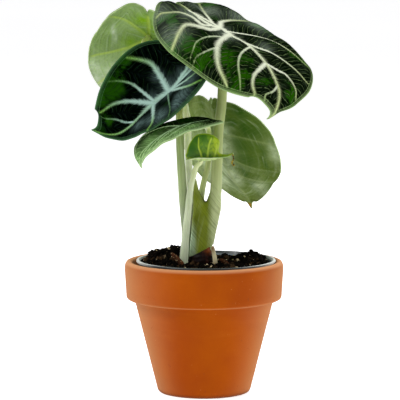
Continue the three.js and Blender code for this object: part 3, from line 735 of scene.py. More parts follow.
# Velvet leaves
# Thick dark leaves with a heart-shaped outline. The broad cream veins lie in furrows and the blade
# puffs up between them; its upper face is velvety, its margin rolls over and its back is pale.
VELVET_LEAVES = {
    "a": {
        "hub": (11.6, -6.3, 275.2), "length": 106, "droop": 29, "tip_curl": 80, "lobe_droop": 0, "sweep": -27,
        "fold": 1, "twist": 6, "lean": -0.3, "notch": 0.5, "puff": 3.4, "quilt": 0.5, "thickness": 0.8,
        "grid": (250, 138),
        "left": {"width": 58, "curl": 7, "gain": -17, "lobe": 0.93, "shoulder": 0.39, "flare": 0.5},
        "right": {"width": 48, "curl": -86, "gain": 3, "lobe": 0.78, "shoulder": 0.15, "flare": 0.09},
        "ribs": [(0.78, 0.19), (0.53, 0.22), (0.33, 0.28), (0.12, 0.34), (-0.08, 0.54), (-0.14, 0.75)],
        "veins": [
            (1.3, 0.8,
             [(-0.3, 0), (-0.15, 0), (0, 0), (0.13, -0.05), (0.26, 0.06), (0.42, 0.06), (0.56, 0.05),
              (0.68, 0.02), (0.81, -0.01), (0.98, 0)]),
            (1.35, 0.6, [(0.03, 0), (0.11, -0.03), (0.14, -0.18), (0.18, -0.43), (0.27, -0.61), (0.36, -0.71),
                         (0.51, -0.77)]),
            (0.35, 0.2, [(0.30, 0.04), (0.33, -0.12), (0.37, -0.30), (0.44, -0.44), (0.59, -0.58)]),
            (0.85, 0.4, [(0.50, 0.05), (0.56, -0.18), (0.60, -0.33), (0.67, -0.43), (0.79, -0.47)]),
            (0.35, 0.2, [(0.74, 0), (0.79, -0.15), (0.81, -0.28), (0.86, -0.28)]),
            (1.0, 0.5, [(0.0, 0.0), (-0.06, 0.15), (-0.13, 0.33), (-0.17, 0.65), (-0.15, 0.89)]),
            (0.55, 0.3, [(0.06, -0.02), (0.08, 0.2), (0.09, 0.36), (0.13, 0.61), (0.20, 0.78), (0.33, 0.88),
                         (0.47, 0.95)]),
            (0.7, 0.35, [(0.24, 0.06), (0.30, 0.22), (0.35, 0.39), (0.51, 0.58), (0.68, 0.70)]),
            (0.6, 0.3, [(0.50, 0.06), (0.58, 0.22), (0.61, 0.31), (0.75, 0.36), (0.83, 0.32)]),
            (1.1, 0.7,
             [(0.0, 0.0), (0.02, -0.1), (0.02, -0.25), (-0.05, -0.33), (-0.14, -0.45), (-0.13, -0.62),
              (-0.11, -0.76), (-0.09, -0.90)]),
            (0.7, 0.35, [(0.0, 0.0), (-0.02, -0.1), (-0.06, -0.25), (-0.19, -0.21), (-0.28, -0.27),
                         (-0.33, -0.43), (-0.36, -0.52), (-0.36, -0.60)]),
            (1.0, 0.6, [(0.0, 0.0), (0.0, -0.1), (-0.1, -0.13), (-0.23, -0.04), (-0.41, 0.12)]),
            (0.7, 0.4, [(0.0, 0.0), (-0.05, -0.01), (-0.18, 0.17), (-0.31, 0.35), (-0.48, 0.61)]),
            (0.3, 0.18, [(0.20, -0.50), (0.16, -0.67), (0.13, -0.82), (0.15, -0.95)]),
            (0.3, 0.18, [(0.14, -0.26), (0.12, -0.30), (0.06, -0.47), (0.04, -0.63), (0.06, -0.74)]),
        ],
        "green": [(0.06, -0.85, 13), (0.24, -0.83, 12), (0.56, -0.53, 10), (0.45, -0.30, 8),
                  (-0.26, -0.54, 10), (-0.12, -0.95, 10), (-0.41, 0.69, 8), (0.03, 0.86, 9),
                  (0.42, 0.87, 10), (0.81, 0.22, 9), (0.62, -0.79, 9), (0.72, -0.15, 6), (0.36, -0.55, 8)],
        # These places paint sheen and glow on the blade.
        "highlight": [(0, -0.04, 8), (0.15, -0.15, 8), (-0.17, 0.84, 11), (-0.14, -0.71, 10), (-0.22, -0.17, 10),
                 (-0.33, 0.42, 12), (-0.36, -0.53, 9), (0, 0.78, 9), (0.32, 0.35, 6)],
    },
    "b": {
        "hub": (-24.2, 5, 228.2), "length": 72.5, "droop": 0, "tip_curl": -49, "lobe_droop": 14, "sweep": -26,
        "fold": 25, "twist": -36, "lean": -0.2, "notch": 0.5, "puff": 1.9, "quilt": 0.3, "thickness": 0.8,
        "grid": (200, 130),
        "left": {"width": 37, "curl": -24, "gain": 82, "lobe": 1, "shoulder": -0.09, "flare": 0.12},
        "right": {"width": 45, "curl": 30, "gain": 51, "lobe": 0.76, "shoulder": 0, "flare": -0.11},
        "ribs": [(0.59, 0.17), (0.3, 0.24), (0.24, 0.38), (0.01, 0.47), (-0.08, 0.62), (-0.14, 0.78)],
        "veins": [
            (1.2, 0.4,
             [(-0.36, 0), (-0.15, 0), (0, 0), (0.15, -0.04), (0.26, -0.04), (0.44, 0.03), (0.6, 0.18),
              (0.75, 0.2), (0.99, 0)]),
            (1.0, 0.5, [(0.03, 0), (0.03, -0.05), (0, -0.36), (-0.01, -0.60), (0.04, -0.76), (0.11, -0.91)]),
            (0.5, 0.25, [(0.22, -0.03), (0.25, -0.33), (0.27, -0.52), (0.32, -0.66), (0.40, -0.80)]),
            (0.9, 0.4, [(0.24, -0.03), (0.34, -0.19), (0.45, -0.34), (0.57, -0.42), (0.72, -0.41)]),
            (0.4, 0.2, [(0.54, 0.1), (0.62, -0.03), (0.68, -0.16), (0.78, -0.28)]),
            (0.8, 0.4, [(0.26, -0.02), (0.29, 0.37), (0.33, 0.67), (0.40, 0.85)]),
            (0.25, 0.15, [(0.05, 0), (0.06, 0.50), (0.08, 0.80), (0.12, 0.95)]),
            (0.7, 0.4,
             [(0, 0), (-0.10, -0.02), (-0.19, -0.07), (-0.27, -0.11), (-0.33, -0.4), (-0.30, -0.7)]),
            (0.7, 0.4, [(0, 0), (-0.19, 0.31), (-0.32, 0.41), (-0.45, 0.46)]),
            (0.6, 0.35, [(0, 0), (-0.04, 0.18), (-0.21, 0.61), (-0.35, 0.76)]),
        ],
        "green": [(0.23, -0.91, 6), (0.46, -0.64, 7), (0.74, -0.25, 6), (0.62, -0.65, 6), (0.35, -0.75, 6)],
        # These places paint sheen and glow on the blade.
        "highlight": [(-0.27, 0.39, 9), (-0.12, 0.7, 7), (-0.02, 0.77, 6), (0.2, 0.71, 7), (0.32, 0.5, 7),
                 (0.47, 0.41, 6), (0, 0, 8), (0.22, -0.05, 6), (-0.19, -0.07, 5), (0.02, -0.35, 4)],
    },
}
HALF_OUTLINE = numpy.array([
    (1.0, 0.0), (0.94, 0.08), (0.87, 0.26), (0.72, 0.55), (0.47, 0.85), (0.17, 1.0), (-0.13, 0.97),
    (-0.38, 0.79), (-0.53, 0.5), (-0.55, 0.24), (-0.46, 0.06), (-0.36, 0.0),
])
TIP_START = 0.75
RIB_BELLY = 0.55
MARGIN_VEIN = 2.7
VEIN_RISE = 0.35
PUFF_SPREAD = 6.5
PUFF_RIM = 6.0
RUFFLE = 1.6
RUFFLE_SCALE = 0.07
RUFFLE_REACH = 9.0


def halves(leaf, side, what, missing=0.0):
    """A value of the left or the right half, for each point."""
    return numpy.where(side > 0, leaf["left"].get(what, missing), leaf["right"].get(what, missing))


def margin_at(leaf, side, t):
    """Flat points of the margin, from the tip at 0 to the sinus at 1: along the midrib, and from it."""
    last = len(HALF_OUTLINE) - 1
    at = numpy.clip(t, 0.0, 1.0) * last
    cell = numpy.minimum(at.astype(int), last - 1)
    w = (at - cell)[:, None]
    p0, p1, p2, p3 = (HALF_OUTLINE[numpy.clip(cell + k, 0, last)] for k in (-1, 0, 1, 2))
    v0 = (p2 - p0) / 2
    v1 = (p3 - p1) / 2
    flat = (2 * p1 - 2 * p2 + v0 + v1) * w ** 3 + (-3 * p1 + 3 * p2 - 2 * v0 - v1) * w ** 2 + v0 * w + p1
    fuller = halves(leaf, side, "shoulder") * numpy.sin(math.pi * numpy.clip(2 * t, 0, 1)) ** 2
    fuller = fuller + halves(leaf, side, "flare") * numpy.sin(math.pi * numpy.clip(2 * t - 1, 0, 1)) ** 2
    out = flat[:, 1] * (1 + fuller)
    stretch = 1 + (halves(leaf, side, "lobe") - 1) * numpy.clip(out / leaf["notch"], 0, 1)
    swing = numpy.sin(math.pi * numpy.clip(t / halves(leaf, side, "span", 1.0), 0, 1))
    waist = halves(leaf, side, "tail") * swing ** 2
    along = flat[:, 0] * numpy.where(flat[:, 0] < 0, stretch, 1.0) - waist
    return along * leaf["length"], out * halves(leaf, side, "width")


def blade_flat(leaf, side, line, reach):
    """Flat points on the lines from the midrib to the margin; line counts the ribs from the tip."""
    stations = numpy.array([(1.0, 0.0)] + leaf["ribs"] + [(HALF_OUTLINE[-1][0], 1.0)])
    count = numpy.arange(len(stations))
    start = numpy.interp(line, count, stations[:, 0]) * leaf["length"]
    end, out = margin_at(leaf, side, numpy.interp(line, count, stations[:, 1]))
    belly = start + leaf["lean"] * (end - start)
    early = 2 * (1 - reach) * reach
    along = (1 - reach) ** 2 * start + early * belly + reach ** 2 * end
    return along, early * RIB_BELLY * out + reach ** 2 * out


def blade_bent(leaf, side, along, across, lift):
    """Bends flat points as the leaf hangs: an arc along the midrib, then an arc across it."""
    length = leaf["length"]
    share = along / length
    front = math.radians(leaf["droop"] or 0.01)
    tip = front + math.radians(leaf["tip_curl"]) / (1 - TIP_START)
    back = math.radians(leaf["lobe_droop"] or 0.01)

    def arc(angle, turn, amount):
        end = angle + turn * amount
        radius = length / turn
        return radius * (numpy.sin(end) - numpy.sin(angle)), radius * (numpy.cos(end) - numpy.cos(angle)), end

    fore_x, fore_z, fore = arc(0.0, front, numpy.clip(share, 0, TIP_START))
    end_x, end_z, ahead = arc(fore, tip, numpy.maximum(share - TIP_START, 0))
    rear_x, rear_z, behind = arc(0.0, back, numpy.minimum(share, 0))
    angle = numpy.where(share < 0, behind, ahead)
    fold = math.radians(leaf["fold"]) + side * math.radians(leaf["twist"]) * numpy.clip(share, -1, 1)
    curl = numpy.radians(halves(leaf, side, "curl") + halves(leaf, side, "gain") * share)
    curl = curl / halves(leaf, side, "width")
    curl = numpy.where(numpy.abs(curl) < 1e-6, 1e-6, curl)
    swung = fold + curl * across
    out = (numpy.sin(swung) - numpy.sin(fold)) / curl - lift * numpy.sin(swung)
    up = (numpy.cos(fold) - numpy.cos(swung)) / curl + lift * numpy.cos(swung)
    return numpy.stack([
        fore_x + end_x + rear_x + up * numpy.sin(angle),
        side * out + leaf["sweep"] * numpy.maximum(share, 0) ** 2,
        fore_z + end_z + rear_z + up * numpy.cos(angle),
    ], axis=1)


def hung(leaf, letter, side, along, across, lift):
    """Places of a blade's points as it hangs on its stalk, in millimetres from the pot's axis."""
    axes = numpy.array([tuple(axis) for axis in leaf_axes(*SET[letter])])
    return blade_bent(leaf, side, along, across, lift) @ axes + numpy.array(leaf["hub"])


def tip_place(leaf, letter):
    """Where a leaf's tip is, in millimetres from the pot's axis."""
    side = numpy.array([1.0])
    along, across = blade_flat(leaf, side, numpy.array([0.0]), numpy.array([0.0]))
    return Vector(hung(leaf, letter, side, along, across, numpy.array([0.0]))[0])


def margin_gap(leaf, points):
    """How far flat points lie from the margin."""
    gap = numpy.full(len(points), 1e3)
    t = numpy.linspace(0.0, 1.0, 260)
    for side in (1.0, -1.0):
        along, across = margin_at(leaf, numpy.full(len(t), side), t)
        for i in range(len(t) - 1):
            a = numpy.array((along[i], across[i] * side))
            step = numpy.array((along[i + 1], across[i + 1] * side)) - a
            share = numpy.clip(((points - a) @ step) / max(step @ step, 1e-9), 0, 1)
            gap = numpy.minimum(gap, numpy.linalg.norm(points - a - share[:, None] * step, axis=1))
    return gap


def vein_lines(leaf):
    """The main veins as flat lines, each with its half width at each point. They are given in shares
    of the length and of the half width, and run on thinly to the vein inside the margin."""
    lines = []
    for wide, narrow, points in leaf["veins"]:
        flat = numpy.array(points, float)
        side = numpy.sign(flat[:, 1])
        flat = numpy.stack([flat[:, 0] * leaf["length"], flat[:, 1] * halves(leaf, side, "width")], axis=1)
        line = smooth_line(flat, LINE_POINTS)
        widths = numpy.linspace(wide, narrow, LINE_POINTS)
        step = (line[-1] - line[-4]) / numpy.linalg.norm(line[-1] - line[-4])
        ahead = line[-1] + step * numpy.arange(18)[:, None]
        near = margin_gap(leaf, ahead) < MARGIN_VEIN + 0.3
        if near.any():
            steps = int(numpy.argmax(near))
            line = numpy.vstack([line, ahead[1:steps + 1]])
            widths = numpy.concatenate([widths, numpy.linspace(narrow, 0.3 * narrow, steps)])
        lines.append((line, widths))
    return lines


def nearest_vein(points, lines):
    """For flat points: how far they lie outside the nearest vein's edge, their run from its root, how
    much further the second nearest vein is, and that vein's half width and share of its length."""
    best = numpy.full(len(points), 1e3)
    second = best.copy()
    run = numpy.zeros(len(points))
    wide = run.copy()
    part = run.copy()
    for line, widths in lines:
        lengths = run_along(line)
        gap = numpy.full(len(points), 1e3)
        here = numpy.zeros(len(points))
        for i in range(len(line) - 1):
            step = line[i + 1] - line[i]
            t = numpy.clip(((points - line[i]) @ step) / max(step @ step, 1e-9), 0, 1)
            away = numpy.linalg.norm(points - line[i] - t[:, None] * step, axis=1)
            away = away - (widths[i] + t * (widths[i + 1] - widths[i]))
            closer = away < gap
            gap = numpy.where(closer, away, gap)
            here = numpy.where(closer, lengths[i] + t * (lengths[i + 1] - lengths[i]), here)
        closer = gap < best
        second = numpy.where(closer, best, numpy.minimum(second, gap))
        run = numpy.where(closer, here, run)
        wide = numpy.where(closer, numpy.interp(here, lengths, widths), wide)
        part = numpy.where(closer, here / lengths[-1], part)
        best = numpy.where(closer, gap, best)
    return best, run, second - best, wide, part


TWIG_SPACING = 4.6
TWIG_LEAN = 0.55
TWIG_CURVE = 0.016
EDGE_ROLL = 1.3
EDGE_DROP = 0.9


def places(leaf, what, flat):
    """How strongly flat points lie in the leaf's listed places of one kind: 1 in their middles. A
    place is a share of the length and of the half width, its size, and how much it is drawn out."""
    amount = numpy.zeros(len(flat))
    for share, reach, size, *drawn in leaf[what]:
        width = leaf["left" if reach > 0 else "right"]["width"]
        ahead = (flat[:, 0] - share * leaf["length"]) / (drawn[0] if drawn else 1.0)
        near = ahead ** 2 + (flat[:, 1] - reach * width) ** 2
        amount = numpy.maximum(amount, numpy.exp(-near / size ** 2))
    return amount


def velvet_blade(leaf, letter, seed):
    """The blade as a thin sheet: cut to its outline, puffed between the veins, quilted by the fine
    veins between them, rolled down at the margin, and bent as it hangs."""
    body = bmesh.new()
    bmesh.ops.create_grid(body, x_segments=leaf["grid"][0], y_segments=leaf["grid"][1], size=1.0)
    sheet = numpy.array([vertex.co for vertex in body.verts])
    side = numpy.where(sheet[:, 1] < 0, -1.0, 1.0)
    reach = numpy.abs(sheet[:, 1])
    reach = reach * (1.25 - 0.25 * reach)
    line = (sheet[:, 0] + 1) / 2 * (len(leaf["ribs"]) + 1)
    along, across = blade_flat(leaf, side, line, reach)
    flat = numpy.stack([along, across * side], axis=1)
    gap, run, spare, wide, part = nearest_vein(flat, vein_lines(leaf))
    rim = margin_gap(leaf, flat)
    out = numpy.maximum(gap, 0.0)
    twig = (run + seed - TWIG_LEAN * out - TWIG_CURVE * out ** 2) / TWIG_SPACING
    quilt = numpy.abs(numpy.sin(math.pi * twig)) ** 0.7 - 0.6
    quilt *= numpy.clip(spare / 3.0, 0, 1) * numpy.clip(out / 2.5, 0, 1) * numpy.clip(rim / 5.0, 0, 1)
    lift = leaf["puff"] * (1 - numpy.exp(-(out / PUFF_SPREAD) ** 2)) * (1 - numpy.exp(-(rim / PUFF_RIM) ** 2))
    lift += VEIN_RISE * numpy.exp(-(numpy.maximum(gap + 0.4, 0) / 0.8) ** 2) * numpy.clip(rim / 3, 0, 1)
    lift += leaf["quilt"] * quilt - EDGE_DROP * numpy.clip(1 - rim / EDGE_ROLL, 0, 1) ** 2
    ruffle = numpy.array([noise.noise(Vector((x * RUFFLE_SCALE, y * RUFFLE_SCALE, seed))) for x, y in flat])
    lift += RUFFLE * ruffle * numpy.exp(-(rim / RUFFLE_REACH) ** 2)
    spots = hung(leaf, letter, side, along, across, lift)
    # The green places (own patches on leaves a and b, painted shade or glow on the others) and the places of
    # painted highlight.
    patch = places(leaf, "green", flat)
    highlight = places(leaf, "highlight", flat)
    vein_layer = body.verts.layers.float_vector.new("vein")
    rim_layer = body.verts.layers.float_vector.new("rim")
    main_layer = body.verts.layers.float_vector.new("main")
    for i, vertex in enumerate(body.verts):
        vertex.co = place(spots[i])
        vertex[vein_layer] = (gap[i], run[i], twig[i])
        vertex[rim_layer] = (rim[i], patch[i], spare[i])
        vertex[main_layer] = (wide[i], part[i], highlight[i])
    bmesh.ops.remove_doubles(body, verts=body.verts, dist=2e-6)
    bmesh.ops.dissolve_degenerate(body, edges=body.edges, dist=1e-6)
    bmesh.ops.reverse_faces(body, faces=body.faces)
    for face in body.faces:
        face.smooth = True
    return body


def grow_leaf(letter, leaf, seed, finishes):
    """The leaf's piece, a blade with its thickness: the finishes are of its face, back and edge."""
    blade = velvet_blade(leaf, letter, seed)
    piece = finish_piece("Leaf_" + letter, blade, finishes, ["blade_" + letter])
    body = piece.modifiers.new("Body", "SOLIDIFY")
    body.thickness = leaf["thickness"] * 0.001
    body.offset = 0.0
    body.material_offset = 1
    body.material_offset_rim = 2
    body.use_even_offset = False


def measures(tree, name):
    """The three measures that the blade's mesh carries under one name."""
    return parts_of(tree, read(tree, name)[1])


def thin_veins(tree, twig):
    """How near a point is to a thin vein: 0 halfway between two, 0.5 on one."""
    return sums(tree, "ABSOLUTE", sums(tree, "SUBTRACT", sums(tree, "FRACT", twig), 0.5))


def velvet_finish(name, ground, green, sheen_colour, veins, sheen_most, highlight_most, halo_most, twig_most):
    """Velvety upper face: dark ground, green places (own patches, or painted shade or glow), painted
    sheen in streaks across the puffs, painted shade in the furrows of the thin veins, painted sheen
    and glow in the listed places, feathered pale veins, and a thin vein inside a pale rolled edge. The
    four vein colours are at the root, at the end, of the thin veins and of the painted highlight."""
    vein_colour, vein_end, twig_colour, highlight_colour = veins
    finish, tree, shader, spot = start_finish(name, 0.8, specular=0.0)
    gap, run, twig = measures(tree, "vein")
    twig = sums(tree, "MULTIPLY_ADD", grain(tree, spot, 150.0, 2.0), 0.8, twig)
    rim, patch, spare = measures(tree, "rim")
    wide, part, highlight = measures(tree, "main")
    lean = sums(tree, "MULTIPLY_ADD", gap, -0.9, run)
    hair = streaks(tree, times(tree, lean, 0.9), times(tree, gap, 0.22), 1.0, 3.0, 0.7)
    hair = fade(tree, hair, 0.28, 0.72)
    cloud = grain(tree, spot, 75.0, 4.0, 0.65)
    broad = grain(tree, spot, 38.0, 2.0, 0.5)
    fine = grain(tree, spot, 1600.0, 2.0, 0.6)
    blotch = sums(tree, "MULTIPLY_ADD", fade(tree, broad, 0.5, 0.7), 0.35, patch)
    blotch = times(tree, blotch, fade(tree, cloud, 0.36, 0.62, 0.15, 1.2))
    # The green places are the own green patches of leaves a and b; for the other leaves they paint shade or
    # glow.
    colour = blend(tree, fade(tree, blotch, 0.12, 0.8), ground, green)
    arcs = thin_veins(tree, twig)
    # Painted sheen: pale streaks across the puffs, weaker next to the veins and on the green patches.
    streak_noise = streaks(tree, times(tree, twig, 2.3), times(tree, gap, 0.13), 1.0, 4.0, 0.7)
    painted_sheen = times(tree, fade(tree, streak_noise, 0.45, 0.78), fade(tree, broad, 0.6, 0.36, 0.3, sheen_most))
    painted_sheen = times(tree, painted_sheen, fade(tree, gap, 0.8, 4.5, 0.25, 1.0))
    painted_sheen = times(tree, painted_sheen, fade(tree, patch, 0.1, 0.8, 1.0, 0.35))
    colour = blend(tree, painted_sheen, colour, sheen_colour)
    # Painted shade: darker in the furrows along the thin veins.
    valley_shade = fade(tree, cloud, 0.3, 0.6, 0.8 * twig_most, 1.6 * twig_most)
    valley_shade = times(tree, fade(tree, arcs, 0.26, 0.46), valley_shade)
    colour = blend(tree, valley_shade, colour, ground)
    # Painted sheen and glow in the listed places.
    glow = times(tree, highlight, fade(tree, hair, 0.0, 1.0, 0.35, 1.0))
    colour = blend(tree, times(tree, glow, highlight_most), colour, highlight_colour)
    twig_line = times(tree, fade(tree, arcs, 0.44, 0.5), fade(tree, spare, 0.4, 2.5))
    twig_line = times(tree, twig_line, fade(tree, streak_noise, 0.3, 0.6, 0.4 * twig_most, twig_most))
    colour = blend(tree, twig_line, colour, twig_colour)
    vein_shade = blend(tree, fade(tree, part, 0.25, 1.0), vein_colour, vein_end)
    vein_shade = blend(tree, fade(tree, wide, 0.42, 0.15, 0.0, 0.8), vein_shade, twig_colour)
    soft_width = sums(tree, "MULTIPLY_ADD", wide, 1.7, 0.25)
    inside = sums(tree, "DIVIDE", sums(tree, "MULTIPLY_ADD", wide, 0.5, gap), soft_width)
    feather = sums(tree, "SUBTRACT", inside, hair)
    halo = fade(tree, part, 1.0, 0.1, 0.4 * halo_most, halo_most)
    colour = coat(tree, colour, vein_shade, feather, 1.3, -0.2, halo)
    colour = coat(tree, colour, vein_shade, feather, 0.1, -0.6)
    ring = sums(tree, "ABSOLUTE", sums(tree, "SUBTRACT", rim, MARGIN_VEIN))
    ring = fade(tree, sums(tree, "MULTIPLY_ADD", hair, -0.3, ring), 0.3, -0.25, 0.0, 0.75)
    colour = coat(tree, colour, twig_colour, rim, 2.3, 1.5, 0.3)
    colour = blend(tree, ring, colour, twig_colour)
    colour = coat(tree, colour, twig_colour, rim, 0.85, 0.4, 0.8)
    plug(tree, shader.inputs["Base Color"], colour)
    relief(tree, shader, sums(tree, "MULTIPLY_ADD", hair, 0.6, fine), 0.3, 0.0004)
    return finish


def back_finish(name, ground, second, vein_colour, green, pale, vein_most=0.5, dried=None):
    """Matt back of a leaf: clouded, greener in the listed green places (painted glow on leaf c, painted
    shade on leaves d and e), paler under a painted highlight in other listed places, with soft broad
    veins and faint folds that follow the margin, painted lighter and darker across them, and brown
    where the tip has dried."""
    finish, tree, shader, spot = start_finish(name, 0.65, specular=0.08)
    gap, run, twig = measures(tree, "vein")
    rim, patch, spare = measures(tree, "rim")
    highlight = measures(tree, "main")[2]
    cloud = grain(tree, spot, 55.0, 4.0, 0.6)
    fine = grain(tree, spot, 900.0, 3.0, 0.6)
    colour = blend(tree, fade(tree, cloud, 0.35, 0.7), ground, second)
    ragged = fade(tree, cloud, 0.3, 0.65, 0.35, 1.0)
    # The green places paint a glow through the blade on leaf c and shade on leaves d and e; on leaves a and b
    # they are its green patches.
    colour = blend(tree, times(tree, patch, ragged), colour, green)
    # Painted highlight: pale in the listed places.
    colour = blend(tree, times(tree, highlight, ragged), colour, pale)
    folds = streaks(tree, times(tree, rim, 0.3), times(tree, run, 0.05), 1.0, 2.0)
    # The folds are painted: pale on their crests and darker green in their troughs, as light and shade would
    # fall.
    colour = coat(tree, colour, pale, folds, 0.52, 0.72, 0.25)
    colour = coat(tree, colour, green, folds, 0.45, 0.3, 0.35)
    arcs = thin_veins(tree, twig)
    twig_line = times(tree, fade(tree, arcs, 0.4, 0.5), fade(tree, spare, 0.4, 2.5, 0.0, 0.25 * vein_most))
    colour = blend(tree, twig_line, colour, vein_colour)
    colour = coat(tree, colour, vein_colour, gap, 1.6, -0.6, vein_most)
    colour = coat(tree, colour, green, fine, 0.4, 0.8, 0.25)
    if dried:
        colour = coat(tree, colour, "8f741c", close_to(tree, spot, dried, 9.0), 0.1, 0.45)
        colour = coat(tree, colour, "4a2c0c", close_to(tree, spot, dried, 3.5), 0.1, 0.7)
    plug(tree, shader.inputs["Base Color"], colour)
    let_light_in(shader, 0.1, (0.5, 1.0, 0.2), 0.001)
    swell = sums(tree, "MULTIPLY_ADD", folds, 1.5, fade(tree, gap, 2.4, -0.4))
    swell = sums(tree, "MULTIPLY_ADD", cloud, 5.0, swell)
    relief(tree, shader, swell, 0.6, 0.001)
    return finish


def edge_finish(name, colour_one, colour_two):
    """The cut-like thin edge of a blade."""
    finish, tree, shader, spot = start_finish(name, 0.5, specular=0.3)
    mottle = grain(tree, spot, 260.0, 3.0)
    colour = blend(tree, fade(tree, mottle, 0.35, 0.7), colour_one, colour_two)
    plug(tree, shader.inputs["Base Color"], colour)
    return finish


# The third colour of a velvet face is its painted sheen, and the last of its vein colours is its painted
# highlight.
DARK_VELVET = ("030b02", "1a4400", "52644a", ("cdd3bc", "a3b078", "849e64", "8b9a88"))
velvet_face = {
    "a": velvet_finish(
        "velvet_upper_a", *DARK_VELVET,
        sheen_most=0.5, highlight_most=0.5, halo_most=0.8, twig_most=0.48,
    ),
    "b": velvet_finish(
        "velvet_upper_b", "000200", "173e02", "1d2c2c", ("92afa4", "64903c", "3c5f3c", "728e8a"),
        sheen_most=0.35, highlight_most=0.42, halo_most=0.8, twig_most=0.22,
    ),
}
velvet_back = back_finish("velvet_back", "7d9150", "93a566", "b5c285", "5f7a3a", "a5b584")
velvet_edge = edge_finish("velvet_edge", "7f9a58", "a9b98a")
dusky_edge = edge_finish("dusky_edge", "2f4a2a", "56704a")
edges_of = {"a": velvet_edge, "b": dusky_edge}
for number, (letter, leaf) in enumerate(VELVET_LEAVES.items()):
    grow_leaf(letter, leaf, 1.7 + number, [velvet_face[letter], velvet_back, edges_of[letter]])


# Leaves seen from their backs
# Two leaves at the rear turn their pale undersides to the front; their upper faces are as velvety
# as the others. The left one is sage green and the right one olive, with a brown dried tip.
REAR_LEAVES = {
    "c": {
        "hub": (-42.2, 50, 266), "length": 77, "droop": 10, "tip_curl": -15, "lobe_droop": 39, "sweep": 13,
        "fold": -20, "twist": 0, "lean": 0.2, "notch": 0.5, "puff": 1.1, "quilt": 0.12, "thickness": 0.8,
        "grid": (170, 104),
        "left": {"width": 45.7, "curl": -18, "gain": 42, "lobe": 1.12, "shoulder": 0.17, "flare": -0.14},
        "right": {"width": 43.4, "curl": -7, "gain": -5, "lobe": 0.72, "shoulder": 0, "flare": 0},
        "ribs": [(0.8, 0.12), (0.55, 0.2), (0.3, 0.3), (0.03, 0.43), (-0.04, 0.67), (-0.12, 0.82)],
        "veins": [(1.3, 0.7, [(-0.3, 0), (0, 0), (0.3, 0), (0.6, 0), (0.96, 0)]),
                  (1.1, 0.6, [(0, 0), (0.12, 0.3), (0.18, 0.6), (0.22, 0.93)]),
                  (0.9, 0.5, [(0, 0), (-0.12, 0.18), (-0.3, 0.4), (-0.42, 0.6)]),
                  (0.9, 0.5, [(0.3, 0), (0.4, 0.3), (0.52, 0.55), (0.64, 0.72)]),
                  (1.0, 0.5, [(0, 0), (0.1, -0.3), (0.18, -0.6), (0.22, -0.9)])],
        # These green places paint a glow of light through the blade around the hub.
        "green": [(-0.03, 0.03, 10), (0.12, 0.02, 10), (-0.25, 0.09, 8), (-0.3, -0.3, 10), (-0.15, -0.2, 9),
                  (0.05, 0.3, 6)],
        # These places paint a highlight, with a pale crease among them.
        "highlight": [(0.62, 0.79, 14), (0.46, 0.96, 11), (0.46, 0.5, 9), (-0.12, 0.6, 1.8, 6),
                 (-0.02, 0.56, 1.4, 4)],
    },
    "d": {
        "hub": (9.7, 29.7, 189.4), "length": 82.5, "droop": -42, "tip_curl": 33, "lobe_droop": -32,
        "sweep": 7, "fold": 17, "twist": -25, "lean": -0.2, "notch": 0.2, "puff": 1.1, "quilt": 0.12,
        "thickness": 0.8, "grid": (170, 104),
        "left": {"width": 47, "curl": -20, "gain": -5, "lobe": 0.64, "shoulder": 0.02, "flare": 0.1,
                 "tail": 0.04, "span": 0.13},
        "right": {"width": 47, "curl": 20, "gain": -39, "lobe": 0.74, "shoulder": 0.15, "flare": 0,
                  "tail": 0.04, "span": 0.13},
        "ribs": [(0.75, 0.12), (0.5, 0.19), (0.27, 0.28), (0.02, 0.45), (-0.08, 0.64), (-0.14, 0.8)],
        "veins": [(0.9, 0.5, [(-0.3, 0), (0, 0), (0.3, 0), (0.6, 0), (0.97, 0)]),
                  (0.6, 0.3, [(0, 0), (-0.05, -0.25), (-0.03, -0.5), (0.05, -0.9)]),
                  (0.6, 0.3, [(0.15, 0), (0.28, -0.25), (0.4, -0.5), (0.5, -0.8)]),
                  (0.6, 0.3, [(0.35, 0), (0.5, -0.2), (0.62, -0.4), (0.7, -0.6)]),
                  (0.6, 0.3, [(0.15, 0), (0.28, 0.25), (0.4, 0.5), (0.5, 0.8)])],
        # These green places paint shade: broad near the sinus under leaf a, and thin in the folds.
        "green": [(-0.35, -0.53, 15), (-0.13, -0.6, 14), (0.05, -0.45, 13), (0.26, -0.42, 10),
                  (-0.2, -0.35, 8), (0.45, -0.27, 3, 4), (0.35, -0.7, 2, 7), (0.7, -0.25, 2, 5),
                  (0.15, -0.75, 3, 4)],
        # These places paint a highlight along the midrib and on the left half.
        "highlight": [(0.12, -0.1, 6, 3), (0.42, -0.06, 5, 3), (-0.08, -0.16, 6), (0.2, -0.98, 6, 2),
                 (0.3, 0.4, 20), (0.6, 0.4, 12), (0.76, -0.35, 6, 2)],
    },
}
sage_back = back_finish("sage_back", "6f8850", "839c62", "a4bc48", "739c00", "b6c4aa", vein_most=0.6)
olive_back = back_finish("olive_back", "485e10", "6a7c3e", "8f9f64", "284a00", "b2c29a", vein_most=0.35,
                         dried=tip_place(REAR_LEAVES["d"], "d"))
rear_backs = {"c": sage_back, "d": olive_back}
rear_face = velvet_finish(
    "velvet_upper_rear", *DARK_VELVET,
    sheen_most=0.4, highlight_most=0.08, halo_most=0.8, twig_most=0.48,
)
for number, (letter, leaf) in enumerate(REAR_LEAVES.items()):
    grow_leaf(letter, leaf, 5.3 + number, [rear_face, rear_backs[letter], velvet_edge])


